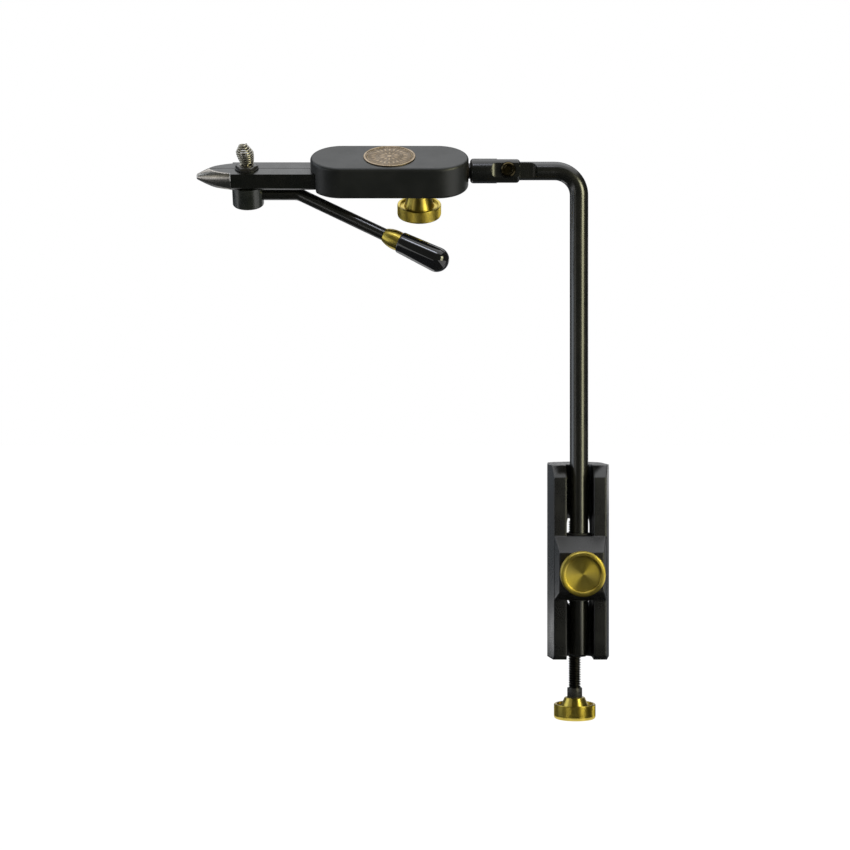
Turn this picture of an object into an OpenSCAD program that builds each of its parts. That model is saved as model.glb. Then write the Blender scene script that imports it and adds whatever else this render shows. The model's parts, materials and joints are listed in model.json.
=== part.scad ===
// Fly tying vise: a C clamp with a bent stem, a rotary head on a forked neck, split jaws with a
// turned nose, a cam lever under them and a barrel-shaped coil spring on top.
// The origin is on the clamp's table face at the clamp screw's axis. +Z is up, the jaws point to -X
// and the tyer sits on the -Y side. X of every head piece is counted from the stem's axis.

/* [Table clamp] */
// Width of the clamp body at the throat's wall
clamp_w = 32; // [30:0.5:36]
// Width of the clamp's arms
arm_w = 28.8; // [26:0.2:30]
// Width of the clamp's front face
cheek_w = 26.8; // [24:0.2:28]
// Thickness of each arm
arm_t = 13; // [10:0.5:18]
// Opening between the arms
throat_h = 73.2; // [66:0.2:90]
// Radius of the throat's inner corners
throat_r = 18.5; // [12:0.5:22]
// Distance from the clamp screw's axis to the stem's axis
stem_offset = 29; // [27:0.5:36]
// Distance from the stem's axis forward to the front face
face_out = 9; // [8:0.5:12]
// Distance from the stem's axis forward to the boss's face
boss_out = 18.6; // [16:0.2:24]
// Width of the boss
boss_w = 22.8; // [20:0.2:26]
// Height of the boss's flat front
boss_h = 20.2; // [16:0.2:24]
// Depth of the boss's centre below the table face
boss_drop = 40.6; // [36:0.2:46]
// Width of the stem's channel
channel_w = 13.8; // [13.4:0.1:16]
// Distance from the stem's axis back to the channel's wall
channel_back = 6.8; // [6.6:0.1:7.5]
// Rounding of the channel's inner corners
channel_r = 3; // [1:0.1:3.4]
// Distance from the stem's axis back to the throat's wall
wall_back = 6.1; // [5.9:0.1:6.5]

/* [Clamp screw] */
// Diameter of the clamp screw's thread
screw_d = 6.35; // [5:0.05:8]
// Rise of the screw threads in one turn
thread_pitch = 1.27; // [0.8:0.01:1.5]
// Diameter of the pressure pad
pad_d = 20; // [16:0.5:26]
// Thickness of the pressure pad's disc
pad_t = 3; // [2:0.2:5]
// Gap between the table face and the pad as stored
pad_gap = 9; // [8.6:0.2:12]
// Length of the screw below its pad
screw_len = 89.8; // [86:0.2:110]
// Diameter of the clamp screw's knob
clamp_knob_d = 22; // [18:0.5:28]
// Thickness of the clamp screw's knob
clamp_knob_t = 7.7; // [5:0.1:10]

/* [Stem] */
// Diameter of the stem
stem_d = 9.525; // [8:0.005:9.8]
// Height of the stem's upper run above the table face
neck_z = 164.4; // [120:0.2:200]
// Depth of the stem's lower end below the table face
stem_drop = 85.3; // [76:0.1:92]
// Radius of the stem's bend, on its centre line
bend_r = 12.5; // [10:0.5:16]
// Distance from the stem's axis to the neck's pivot
pivot_x = 36.7; // [33:0.1:44]
// Thickness of the stem's tongue
tongue_t = 5; // [4:0.1:5.6]

/* [Neck] */
// Diameter of the neck
neck_d = 12.7; // [11.5:0.1:14]
// Length of the neck from its fork's end to its shoulder
neck_len = 25.6; // [24:0.1:32]
// Diameter of the spindle that the head turns on
spindle_d = 8; // [7:0.1:8.4]
// Diameter of the pivot bolt
bolt_d = 5; // [4:0.1:5.2]

/* [Head] */
// Length of the head
head_len = 81.3; // [78:0.1:90]
// Width of the head
head_w = 32; // [30:0.5:38]
// Height of the head's top above the neck's axis
head_top = 7.9; // [7.6:0.1:9]
// Depth of the head's bottom below the neck's axis
head_bottom = 8.9; // [8.6:0.1:10]
// Rounding of the head's edges
head_r = 1.6; // [0.8:0.1:2.4]
// Angle by which the head is turned on its neck as stored
head_roll = 29; // [0:1:45]
// Diameter of the medallion
medal_d = 26.7; // [20:0.1:28]
// Distance from the head's neck end to the thumb screw
head_knob_x = 25.4; // [22:0.1:27]

/* [Thumb knobs] */
// Diameter of the two thumb knobs
knob_d = 22.8; // [18:0.2:26]
// Thickness of a thumb knob's flange
knob_t = 6.5; // [5:0.1:9]
// Height of the head knob's conical hub
head_hub_h = 9.2; // [6:0.1:14]
// Height of the stem knob's conical hub
stem_hub_h = 2.6; // [2:0.1:6]

/* [Jaws] */
// Width of the two jaws together
jaw_w = 16; // [15:0.2:17]
// Height of the jaws
jaw_h = 9.15; // [8.6:0.05:9.4]
// Height of the jaws' top above the neck's axis
jaw_top = 1.5; // [1.2:0.1:1.6]
// Length of the straight jaw bar in front of the head
bar_len = 40.7; // [36:0.1:50]
// Length of the turned nose
nose_len = 18; // [15:0.5:24]
// Radius of the arc that shapes the nose
nose_arc = 60; // [50:1:90]
// Radius of the nose at its tip
tip_r = 1.3; // [1:0.1:2]
// Distance from the nose's base back to the cam shaft
cam_back = 7.9; // [7.4:0.1:14]

/* [Lever] */
// Diameter of the cam hub
hub_d = 16.2; // [15:0.1:20]
// Height of the cam hub
hub_h = 11; // [9.8:0.1:14]
// Diameter of the lever rod
rod_d = 6.35; // [5:0.05:7]
// Distance from the hub's axis to the rod's bend
shank_len = 26.3; // [24:0.1:34]
// Angle of the rod's bend
lever_angle = 28.6; // [15:0.2:40]
// Angle by which the bend turns from straight down towards the tyer
lever_roll = 55; // [0:1:70]
// Length of the lever from the bend to the grip's end
lever_len = 87.7; // [76:0.1:110]
// Length of the grip
grip_len = 27.8; // [22:0.1:34]
// Diameter of the grip at its dome
grip_d = 12.8; // [11.6:0.1:15]
// Length of the ferrule
ferrule_len = 8.9; // [7:0.1:12]

/* [Material spring] */
// Diameter of the spring's wire
wire_d = 0.65; // [0.5:0.01:0.66]
// Height of the spring's coil
coil_h = 11.2; // [11.2:0.1:13]
// Number of turns
coil_turns = 9; // [6:1:9]
// Share of the coil's height at which it is widest
coil_waist_share = 0.6; // [0.4:0.05:0.7]
// Radius of the coil where it is widest
coil_mid_r = 4.2; // [3.5:0.05:5]
// Radius of the coil at its foot
coil_foot_r = 2.9; // [2.6:0.05:3.2]
// Radius of the coil at its top
coil_top_r = 1.7; // [1.5:0.05:2.4]
// How far the spring leans towards the nose
coil_lean = 1.7; // [0:0.1:2.2]

/* [Hidden] */
$fn = 64;

// Running clearance of a pin or shaft in its hole, on the radius
fit = 0.05;
// Clearance between faces that slide on each other
face_fit = 0.1;
// Clearance between pieces that must not touch
clear = 0.35;
// Overrun of a cut past the face it opens
over = 1;

// The clamp's corners and faces, in Y and Z
stem_y = -stem_offset;
front_y = stem_y - face_out;
boss_y = stem_y - boss_out;
wall_y = stem_y + wall_back;
arm_end_y = arm_w / 2;
clamp_top = arm_t;
clamp_bottom = -throat_h - arm_t;
// Height and depth of the slope at the front face's upper end
top_slope = 6;
// Size of the slope at the front face's lower end
base_slope = 2;
// Heights of the slopes above and below the boss
boss_slope_up = 7.7;
boss_slope_down = 4.8;
boss_top = -boss_drop + boss_h / 2;
boss_base = -boss_drop - boss_h / 2;
channel_floor = boss_top + boss_slope_up;
channel_roof = boss_base - boss_slope_down;

// The bush: its wall, its lips and its slit
bush_wall = 0.5;
bush_d = stem_d + 2 * fit + 2 * bush_wall;
bush_lip_w = 1;
bush_lip_d = bush_d + 2 * bush_lip_w;
bush_lip_t = 0.8;
bush_slit = 0.8;

// The knobs: shares of the knob's diameter, and the depths of its two faces
hub_top_share = 0.42;
hub_base_share = 0.68;
rim_share = 0.87;
dish_share = 0.8;
dish_depth = 1.5;
rim_depth = 1.2;
knob_edge = 0.5;
// Diameter of the thumb knobs' studs, and how far a stud reaches into its knob
stud_d = 6.35;
stud_grip = 5;
knob_gap = 0.4;
// The slugs between a stud and what it presses on
slug_d = 5;
stem_slug_len = 4.5;
head_slug_len = 1.2;

// The clamp screw, from the pad down
screw_nose_d = 4.6;
pad_hub_d = 11;
pad_hub_h = 4.2;
pad_skin = 1;
pad_top = -pad_gap;
pad_base = pad_top - pad_t - pad_hub_h;
circlip_t = 0.8;
circlip_w = 1.2;
circlip_up = 1.2;
circlip_d = 3.9;
circlip_top = pad_base + circlip_up + circlip_t;
screw_top = pad_base - face_fit;
collar_d = 7.9;
collar_h = 5.1;
collar_top = screw_top - screw_len;
collar_base = collar_top - collar_h;
clamp_hub_h = 3.4;
clamp_hub_d = 10.7;
clamp_hub_base_d = 14.8;

// The stem's tongue and its flats, cut by a round cutter
end_chamfer = 1.2;
cutter_r = 4.8;
tongue_len = 10.9;
tongue_half = stem_d / 2;

// The neck, from its fork's end to the spindle's end, with X counted from the stem's axis
fork_reach = 6.2;
fork_end = fork_reach - pivot_x;
shoulder_x = fork_end - neck_len;
neck_r = neck_d / 2;
neck_edge = 1.7;
slot_room = 0.9;
slot_len = fork_reach + tongue_half + slot_room;
flat_depth = 1.2;
flat_len = 11.9;
flat_y = neck_r - flat_depth;
head_gap = 0.8;
head_x1 = shoulder_x - head_gap;
head_x0 = head_x1 - head_len;
head_rad = head_w / 2;

// The pivot bolt's head, washers and nut
washer_t = 0.6;
washer_d = 8.4;
bolt_head_d = 7.4;
bolt_head_t = 2.6;
bolt_head_edge = 0.6;
socket_af = 3.6;
socket_depth = 1.8;
socket_lead = 0.6;
pivot_nut_af = 8;
pivot_nut_t = 4;
bolt_end = 0.8;

// The head's hollows: the jaws' pocket, the spindle's pocket and the cover's seat
mouth_len = 8.6;
mouth_gap = 1.2;
pocket_in = 7.6;
pocket_len = 23.4;
pocket_x0 = head_x0 + pocket_in;
pocket_x1 = pocket_x0 + pocket_len;
pocket_half = 9;
pocket_roof = jaw_top + clear;
ring_room = 8;
ring_half = 6.5;
ring_roof = 5.4;
cover_t = 1.6;
cover_x0 = head_x0 + mouth_len;
cover_lap = 3;
cover_x1 = pocket_x1 + ring_room + cover_lap;
cover_half = 13;
cover_r = 4;
cover_gap = 0.05;
cover_screw_d = 2;
cover_screw_head_d = 3.6;
cover_screw_len = 5;
cover_screw_in = 4.4;
cover_screw_side = 2;
medal_t = 1.2;
medal_seat = 0.6;
medal_rim = 1;
medal_sink = 0.25;
medal_gap = 0.05;

// The spindle, its bush and its ring
neck_bush_d = 11;
neck_bush_len = 18;
ring_d = 10;
ring_seat_d = 6.6;
ring_t = 1;
ring_gap = 0.2;
ring_wall_x = pocket_x1 + ring_room;
ring_x = ring_wall_x - ring_gap - ring_t;
spindle_tip = 1.5;
spindle_x = ring_x - spindle_tip;
head_knob_u = head_x1 - head_knob_x;

// The jaws
slit = 0.4;
jaw_mid = jaw_top - jaw_h / 2;
jaw_base = jaw_top - jaw_h;
jaw_edge = 2;
nose_base_x = head_x0 - bar_len;
nose_tip_x = nose_base_x - nose_len;
cam_x = nose_base_x + cam_back;
bar_back_x = cover_x0 - clear * 2;
pin_in = 14.8;
pin_x = head_x0 + pin_in;
pin_v = 4.2;
pin_d = 3;
pin_end = 1;
tail_len = 12;
tail_x = pin_x + tail_len;
tail_base = -head_bottom + cover_t + clear;
tail_half = 7.5;
jaw_spring_d = 3.6;
jaw_spring_half = 2.8;
jaw_spring_room = 0.3;
jaw_spring_in = 4;
jaw_spring_x = tail_x - jaw_spring_in;
jaw_spring_bore = 1.6;

// The cam: an oval with a long and a short half axis, drawn with this many points
cam_long = 3;
cam_short = 2.5;
cam_points = 36;
cam_top_d = 5;
cam_foot_d = 6;
hub_top = jaw_base - face_fit;
hub_base = hub_top - hub_h;
hub_edge = 0.8;
hub_floor = 1.2;
rod_drop = 5.1;
lever_w = hub_top - rod_drop;
rod_in = 4.4;
rod_bend_r = 7;
// How much thicker the bend is than the rod, and how far the straight runs reach into it
bend_swell = 0.1;
bend_lap = 0.4;
ferrule_x = lever_len - grip_len - ferrule_len;
ferrule_d0 = 6.9;
ferrule_d1 = 9.3;
ferrule_arc = 15;
grip_d0 = 11;
grip_edge = 0.6;
rod_tip_in = 18;

// The washer, nut, spring seat and spring on top of the jaws
jaw_washer_d = 12.3;
jaw_washer_t = 0.6;
washer_base = jaw_top + face_fit;
jaw_nut_af = 10;
jaw_nut_t = 1.3;
nut_edge = 0.4;
nut_base = washer_base + jaw_washer_t;
seat_base = nut_base + jaw_nut_t;
seat_t = 0.3;
seat_d = 7;
seat_pin_d = 3.2;
seat_pin_h = 4;
coil_base = seat_base + seat_t;

// Puts its children at the stem's axis
module at_stem() translate([0, stem_y, 0]) children();

// Puts its children on the neck's axis
module at_neck() translate([0, stem_y, neck_z]) children();

// Puts its children in the head, turned on the neck's axis as stored
module in_head() at_neck() rotate([head_roll, 0, 0]) children();

// Lays a profile drawn in Y and Z across the width given, centred on X = 0
module across(width) translate([-width / 2, 0, 0]) rotate([90, 0, 90])
    linear_extrude(width) children();

// A cylinder along X between two places
module rod_x(x0, x1, d) translate([x0, 0, 0]) rotate([0, 90, 0]) cylinder(h = x1 - x0, d = d);

// A cylinder along Y between two places
module rod_y(y0, y1, d) translate([0, y1, 0]) rotate([90, 0, 0]) cylinder(h = y1 - y0, d = d);

// A cylinder along Z between two heights
module rod_z(z0, z1, d) translate([0, 0, z0]) cylinder(h = z1 - z0, d = d);

// A hexagonal bar along Z between two heights
module hex_z(z0, z1, af) translate([0, 0, z0]) cylinder(h = z1 - z0, d = af / cos(30), $fn = 6);

// A box between two corners
module box(low, high) translate(low) cube(high - low);

// A rectangle with round corners between two corners
module round_rect(low, high, r) {
    translate(low + [r, 0]) square(high - low - [2 * r, 0]);
    translate(low + [0, r]) square(high - low - [0, 2 * r]);
    for (x = [low.x + r, high.x - r], y = [low.y + r, high.y - r]) translate([x, y]) circle(r);
}

// Side view of the clamp without its boss
module clamp_side() difference() {
    polygon([[front_y, clamp_bottom + base_slope], [front_y + base_slope, clamp_bottom],
        [arm_end_y, clamp_bottom], [arm_end_y, clamp_top], [front_y + top_slope, clamp_top],
        [front_y, clamp_top - top_slope]]);
    translate([wall_y + throat_r, -throat_h])
        square([arm_end_y - wall_y - throat_r + over, throat_h]);
    translate([wall_y, throat_r - throat_h]) square([throat_r + over, throat_h - 2 * throat_r]);
    for (z = [-throat_r, throat_r - throat_h]) translate([wall_y + throat_r, z]) circle(throat_r);
}

// Plan of the clamp: widest at the throat's wall, and round at the arms' ends
module clamp_plan() {
    circle(d = arm_w);
    polygon([[-arm_w / 2, 0], [-clamp_w / 2, wall_y], [-cheek_w / 2, front_y],
        [cheek_w / 2, front_y], [clamp_w / 2, wall_y], [arm_w / 2, 0]]);
}

// Side view of the boss that carries the stem's thumb screw
module boss_side() polygon([[front_y + over, channel_floor], [front_y, channel_floor],
    [boss_y, boss_top], [boss_y, boss_base], [front_y, channel_roof], [front_y + over, channel_roof]]);

// Plan of the boss: as wide as the front face at its root, and narrower at its own face
module boss_plan() polygon([[-cheek_w / 2, front_y + over], [-boss_w / 2, boss_y],
    [boss_w / 2, boss_y], [cheek_w / 2, front_y + over]]);

// The stem's channel between two heights, open to the front
module channel(z0, z1) translate([0, 0, z0]) linear_extrude(z1 - z0)
    round_rect([-channel_w / 2, boss_y - over - channel_r],
        [channel_w / 2, stem_y + channel_back], channel_r);

module clamp_body() color([0.11, 0.11, 0.12]) difference() {
    union() {
        intersection() {
            across(clamp_w) clamp_side();
            translate([0, 0, clamp_bottom]) linear_extrude(clamp_top - clamp_bottom) clamp_plan();
        }
        intersection() {
            across(clamp_w) boss_side();
            translate([0, 0, channel_roof - over])
                linear_extrude(channel_floor - channel_roof + 2 * over) boss_plan();
        }
    }
    channel(channel_floor, clamp_top + over);
    channel(clamp_bottom - over, channel_roof);
    at_stem() {
        rod_z(channel_roof - over, channel_floor + over, bush_d + 2 * fit);
        translate([0, 0, -boss_drop]) {
            rod_y(-boss_out - over, -stem_slug_y1 - knob_gap, stud_d + 2 * fit);
            rod_y(-stem_slug_y1 - over, 0, slug_d + 2 * fit);
        }
    }
    rod_z(clamp_bottom - over, over - throat_h, screw_d + 2 * fit);
}

// A knob along Z: its outer face is at 0, and its hub points up and ends at top
module knob(d, thick, hub_h, hub_top_d, hub_base_d, bore_d, bore_depth) {
    top = thick + hub_h;
    difference() {
        rotate_extrude() polygon([[0, dish_depth], [d * dish_share / 2, dish_depth],
            [d * dish_share / 2, knob_edge], [d * dish_share / 2 + knob_edge, 0],
            [d / 2 - knob_edge, 0], [d / 2, knob_edge], [d / 2, thick - knob_edge],
            [d / 2 - knob_edge, thick], [d * rim_share / 2, thick],
            [d * rim_share / 2, thick - rim_depth], [hub_base_d / 2, thick - rim_depth],
            [hub_top_d / 2, top], [0, top]]);
        rod_z(top - bore_depth, top + over, bore_d);
    }
}

module clamp_screw() color([0.45, 0.44, 0.42]) {
    rod_z(collar_base - stud_grip, screw_top, screw_d);
    rod_z(screw_top, pad_base + circlip_up - face_fit, screw_nose_d);
    rod_z(pad_base + circlip_up - face_fit, circlip_top + face_fit, circlip_d - 2 * fit);
    rod_z(circlip_top + face_fit, pad_top - pad_skin - face_fit, screw_nose_d);
}

module screw_collar() color([0.1, 0.1, 0.1]) difference() {
    rod_z(collar_base, collar_top, collar_d);
    rod_z(collar_base - over, collar_top + over, screw_d);
}

module clamp_knob() color([0.66, 0.56, 0.2])
    translate([0, 0, collar_base - clamp_hub_h - clamp_knob_t])
    knob(clamp_knob_d, clamp_knob_t, clamp_hub_h, clamp_hub_d, clamp_hub_base_d, screw_d, stud_grip);

module swivel_pad() color([0.2, 0.2, 0.2]) difference() {
    union() {
        rod_z(pad_top - pad_t, pad_top, pad_d);
        rod_z(pad_base, pad_top - pad_t, pad_hub_d);
    }
    rod_z(pad_base - over, pad_top - pad_skin, screw_nose_d + 2 * fit);
    rod_z(pad_base + circlip_up, circlip_top, screw_nose_d + 2 * circlip_w);
}

module pad_circlip() color([0.6, 0.6, 0.6]) difference() {
    rod_z(pad_base + circlip_up, circlip_top, screw_nose_d + 2 * circlip_w);
    rod_z(pad_base, pad_top, circlip_d);
}

// The bush: a split sleeve with a lip at each end
module stem_bush() color([0.08, 0.08, 0.08]) at_stem() difference() {
    union() {
        rod_z(channel_roof - face_fit, channel_floor + face_fit, bush_d);
        rod_z(channel_floor + face_fit, channel_floor + face_fit + bush_lip_t, bush_lip_d);
        rod_z(channel_roof - face_fit - bush_lip_t, channel_roof - face_fit, bush_lip_d);
    }
    rod_z(channel_roof - bush_lip_t - over, channel_floor + bush_lip_t + over, stem_d + 2 * fit);
    box([-bush_slit / 2, 0, channel_roof - bush_lip_t - over],
        [bush_slit / 2, bush_lip_d, channel_floor + bush_lip_t + over]);
}

// Places of the stem's slug, counted forward from the stem's axis
stem_slug_y0 = bush_d / 2 + fit;
stem_slug_y1 = stem_slug_y0 + stem_slug_len;
stem_knob_y = boss_out + knob_gap;

module stem_slug() color([0.7, 0.6, 0.25]) at_stem() translate([0, 0, -boss_drop])
    rod_y(-stem_slug_y1, -stem_slug_y0, slug_d);

module stem_knob_stud() color([0.4, 0.4, 0.4]) at_stem() translate([0, 0, -boss_drop])
    rod_y(-stem_knob_y - stud_grip, -stem_slug_y1 - fit - knob_gap, stud_d);

module stem_knob() color([0.66, 0.56, 0.2]) at_stem()
    translate([0, -stem_knob_y - stem_hub_h - knob_t, -boss_drop]) rotate([-90, 0, 0])
    knob(knob_d, knob_t, stem_hub_h, knob_d * hub_top_share, knob_d * hub_base_share, stud_d,
        stud_grip);

// Cutter for the two flats of a bar along X: it starts at x0 and runs out upwards past x1
module flats(x0, x1, half, reach) for (m = [0, 1]) mirror([0, m, 0]) {
    box([x0, half, -reach], [x1, half + 2 * cutter_r, reach]);
    translate([x1, half + cutter_r, -reach]) cylinder(h = 2 * reach, r = cutter_r);
}

module stem() color([0.1, 0.1, 0.09]) at_stem() difference() {
    union() {
        translate([0, 0, -stem_drop]) {
            cylinder(h = end_chamfer, d1 = stem_d - 2 * end_chamfer, d2 = stem_d);
            translate([0, 0, end_chamfer])
                cylinder(h = neck_z - bend_r + stem_drop - end_chamfer, d = stem_d);
        }
        translate([-bend_r, 0, neck_z - bend_r]) rotate([90, 0, 0]) rotate_extrude(angle = 90)
            translate([bend_r, 0]) circle(d = stem_d);
        translate([0, 0, neck_z]) difference() {
            rod_x(-pivot_x - tongue_half, -bend_r, stem_d);
            difference() {
                box([-pivot_x - tongue_half - over, -stem_d, -stem_d], [-pivot_x, stem_d, stem_d]);
                translate([-pivot_x, 0, 0]) rod_y(-stem_d - over, stem_d + over, stem_d);
            }
        }
    }
    translate([0, 0, neck_z]) {
        flats(-pivot_x - tongue_half - over, -pivot_x + tongue_len, tongue_t / 2, stem_d);
        translate([-pivot_x, 0, 0]) rod_y(-stem_d, stem_d, bolt_d + 2 * fit);
    }
}

// The neck's fork and shoulder, round at both ends
module neck_blank() translate([shoulder_x, 0, 0]) rotate([0, 90, 0]) rotate_extrude() {
    square([neck_r - neck_edge, neck_len]);
    translate([0, neck_edge]) square([neck_r, neck_len - 2 * neck_edge]);
    for (y = [neck_edge, neck_len - neck_edge]) translate([neck_r - neck_edge, y]) circle(neck_edge);
}

module neck() color([0.12, 0.12, 0.12]) at_neck() difference() {
    union() {
        neck_blank();
        rod_x(spindle_x, shoulder_x + over, spindle_d);
    }
    box([fork_end - slot_len, -tongue_t / 2 - fit, -neck_d], [fork_end + over, tongue_t / 2 + fit, neck_d]);
    mirror([1, 0, 0]) flats(-fork_end - over, -fork_end + flat_len, flat_y, neck_d);
    translate([-pivot_x, 0, 0]) rod_y(-neck_d, neck_d, bolt_d + 2 * fit);
    difference() {
        rod_x(ring_x, ring_x + ring_t + face_fit, spindle_d + over);
        rod_x(ring_x - over, ring_x + ring_t + over, ring_seat_d);
    }
}

module pivot_bolt() color([0.16, 0.15, 0.13]) at_neck() translate([-pivot_x, 0, 0]) difference() {
    union() {
        rod_y(-flat_y - washer_t, flat_y + washer_t + pivot_nut_t + bolt_end, bolt_d);
        rotate([90, 0, 0]) {
            rod_z(flat_y + washer_t, flat_y + washer_t + bolt_head_t - bolt_head_edge, bolt_head_d);
            translate([0, 0, flat_y + washer_t + bolt_head_t - bolt_head_edge])
                cylinder(h = bolt_head_edge, d1 = bolt_head_d, d2 = bolt_head_d - 2 * bolt_head_edge);
        }
    }
    rotate([90, 0, 0]) translate([0, 0, flat_y + washer_t + bolt_head_t]) {
        hex_z(-socket_depth, over, socket_af);
        translate([0, 0, -socket_lead])
            cylinder(h = 2 * socket_lead, d1 = socket_af, d2 = socket_af + 4 * socket_lead);
    }
}

module pivot_washers() color([0.2, 0.2, 0.2]) at_neck() translate([-pivot_x, 0, 0])
    for (y = [-flat_y - washer_t, flat_y]) difference() {
        rod_y(y, y + washer_t, washer_d);
        rod_y(y - over, y + washer_t + over, bolt_d + 2 * fit);
    }

module pivot_nut() color([0.16, 0.15, 0.13]) at_neck() translate([-pivot_x, 0, 0])
    rotate([-90, 0, 0]) difference() {
        hex_z(flat_y + washer_t, flat_y + washer_t + pivot_nut_t, pivot_nut_af);
        rod_z(flat_y, flat_y + washer_t + pivot_nut_t + over, bolt_d + 2 * fit);
    }

module spindle_ring() color([0.5, 0.5, 0.5]) at_neck() difference() {
    rod_x(ring_x, ring_x + ring_t, ring_d);
    rod_x(ring_x - over, ring_x + ring_t + over, ring_seat_d + 2 * fit);
}

// Half of the head's section, round at its outer corners
module head_section() translate([0, -head_bottom]) {
    square([head_rad - head_r, head_top + head_bottom]);
    translate([0, head_r]) square([head_rad, head_top + head_bottom - 2 * head_r]);
    for (y = [head_r, head_top + head_bottom - head_r]) translate([head_rad - head_r, y])
        circle(head_r);
}

// The head's outer form: a straight middle between two half rounds
module head_blank() {
    translate([head_x0 + head_rad, 0, 0]) {
        rotate([90, 0, 90]) linear_extrude(head_len - head_w) {
            head_section();
            mirror([1, 0]) head_section();
        }
        rotate([0, 0, 90]) rotate_extrude(angle = 180) head_section();
    }
    translate([head_x1 - head_rad, 0, 0]) rotate([0, 0, -90]) rotate_extrude(angle = 180)
        head_section();
}

// Places of the cover's four screws
module at_cover_screws() for (x = [cover_x0 + cover_screw_in, cover_x1 - cover_screw_in],
    y = [-cover_half + cover_screw_side, cover_half - cover_screw_side])
    translate([x, y, -head_bottom]) children();

module head_body() color([0.24, 0.25, 0.26]) in_head() difference() {
    head_blank();
    box([head_x0 - over, -jaw_w / 2 - mouth_gap, -head_bottom - over],
        [pocket_x0 + over, jaw_w / 2 + mouth_gap, pocket_roof]);
    box([pocket_x0, -pocket_half, -head_bottom - over], [pocket_x1, pocket_half, pocket_roof]);
    box([pocket_x1 - over, -ring_half, -head_bottom - over],
        [pocket_x1 + ring_room, ring_half, ring_roof]);
    translate([0, 0, -head_bottom - over]) linear_extrude(cover_t + over)
        round_rect([cover_x0, -cover_half], [cover_x1, cover_half], cover_r);
    at_cover_screws() rod_z(-over, cover_screw_len + clear, cover_screw_d + 2 * fit);
    rod_x(ring_wall_x - over, head_x1 + over, spindle_d + 2 * fit);
    rod_x(head_x1 - neck_bush_len, head_x1 + over, neck_bush_d);
    translate([head_knob_u, 0, 0]) {
        rod_z(-head_bottom - over, -head_slug_z1, stud_d + 2 * fit);
        rod_z(-head_slug_z1 - over, 0, slug_d + 2 * fit);
    }
    translate([(head_x0 + head_x1) / 2, 0, 0]) rod_z(head_top - medal_seat, head_top + over,
        medal_d + 2 * medal_gap);
    for (s = [-1, 1]) translate([pin_x, s * pin_v, 0]) rod_z(0, pocket_roof + pin_end, pin_d);
}

module head_cover() color([0.2, 0.2, 0.21]) in_head() difference() {
    translate([0, 0, -head_bottom]) linear_extrude(cover_t - cover_gap) round_rect(
        [cover_x0 + cover_gap, cover_gap - cover_half],
        [cover_x1 - cover_gap, cover_half - cover_gap], cover_r - cover_gap);
    at_cover_screws() {
        rod_z(-over, cover_t + over, cover_screw_d + 2 * fit);
        translate([0, 0, -fit]) cylinder(h = (cover_screw_head_d - cover_screw_d) / 2 + 2 * fit,
            d1 = cover_screw_head_d + 2 * fit, d2 = cover_screw_d + 2 * fit);
    }
    for (s = [-1, 1]) translate([pin_x, s * pin_v, 0])
        rod_z(-head_bottom + cover_t / 2, over - head_bottom + cover_t, pin_d);
}

module cover_screws() color([0.3, 0.3, 0.3]) in_head() at_cover_screws() {
    cylinder(h = (cover_screw_head_d - cover_screw_d) / 2, d1 = cover_screw_head_d, d2 = cover_screw_d);
    rod_z((cover_screw_head_d - cover_screw_d) / 2, cover_screw_len, cover_screw_d);
}

module medallion() color([0.6, 0.5, 0.34]) in_head()
    translate([(head_x0 + head_x1) / 2, 0, head_top - medal_seat]) difference() {
        rod_z(0, medal_t, medal_d);
        rod_z(medal_t - medal_sink, medal_t + over, medal_d - 2 * medal_rim);
    }

module neck_bush() color([0.6, 0.48, 0.25]) in_head() difference() {
    rod_x(head_x1 - neck_bush_len, head_x1, neck_bush_d);
    rod_x(head_x1 - neck_bush_len - over, head_x1 + over, spindle_d + 2 * fit);
}

// Places of the head's slug, counted down from the neck's axis
head_slug_z0 = spindle_d / 2 + fit;
head_slug_z1 = head_slug_z0 + head_slug_len;
head_knob_z = head_bottom + knob_gap;

module head_slug() color([0.7, 0.6, 0.25]) in_head() translate([head_knob_u, 0, 0])
    rod_z(-head_slug_z1, -head_slug_z0, slug_d);

module head_knob_stud() color([0.4, 0.4, 0.4]) in_head() translate([head_knob_u, 0, 0])
    rod_z(-head_knob_z - stud_grip, -head_slug_z1 - fit, stud_d);

module head_knob() color([0.66, 0.56, 0.2]) in_head()
    translate([head_knob_u, 0, -head_knob_z - head_hub_h - knob_t])
    knob(knob_d, knob_t, head_hub_h, knob_d * hub_top_share, knob_d * hub_base_share, stud_d,
        stud_grip);

module jaw_pins() color([0.6, 0.6, 0.6]) in_head() for (s = [-1, 1])
    translate([pin_x, s * pin_v, 0]) rod_z(-head_bottom + cover_t / 2, pocket_roof + pin_end, pin_d);

module jaw_spring() color([0.6, 0.6, 0.6]) in_head()
    translate([jaw_spring_x, 0, (jaw_top + tail_base) / 2]) difference() {
        rod_y(-jaw_spring_half, jaw_spring_half, jaw_spring_d);
        rod_y(-jaw_spring_half - over, jaw_spring_half + over, jaw_spring_bore);
    }

// Half width of the nose's outline: an arc from the tip to the bar's half width
nose_chord = norm([nose_len, jaw_w / 2 - tip_r]);
nose_tilt = atan2(jaw_w / 2 - tip_r, nose_len);
nose_sag = sqrt(nose_arc * nose_arc - nose_chord * nose_chord / 4);
nose_cx = nose_len / 2 + nose_sag * sin(nose_tilt);
nose_cy = (tip_r + jaw_w / 2) / 2 - nose_sag * cos(nose_tilt);

// The turned nose, along +Z from its tip
module nose() rotate_extrude() intersection() {
    translate([nose_cy, nose_cx]) circle(nose_arc);
    square([jaw_w, nose_len]);
}

// The cam's oval, longer and wider by the gaps given
module cam_oval(gap_long, gap_short) polygon([for (i = [0:cam_points - 1])
    let(a = 360 * i / cam_points)
    [(cam_long + gap_long) * cos(a), (cam_short + gap_short) * sin(a)]]);

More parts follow.
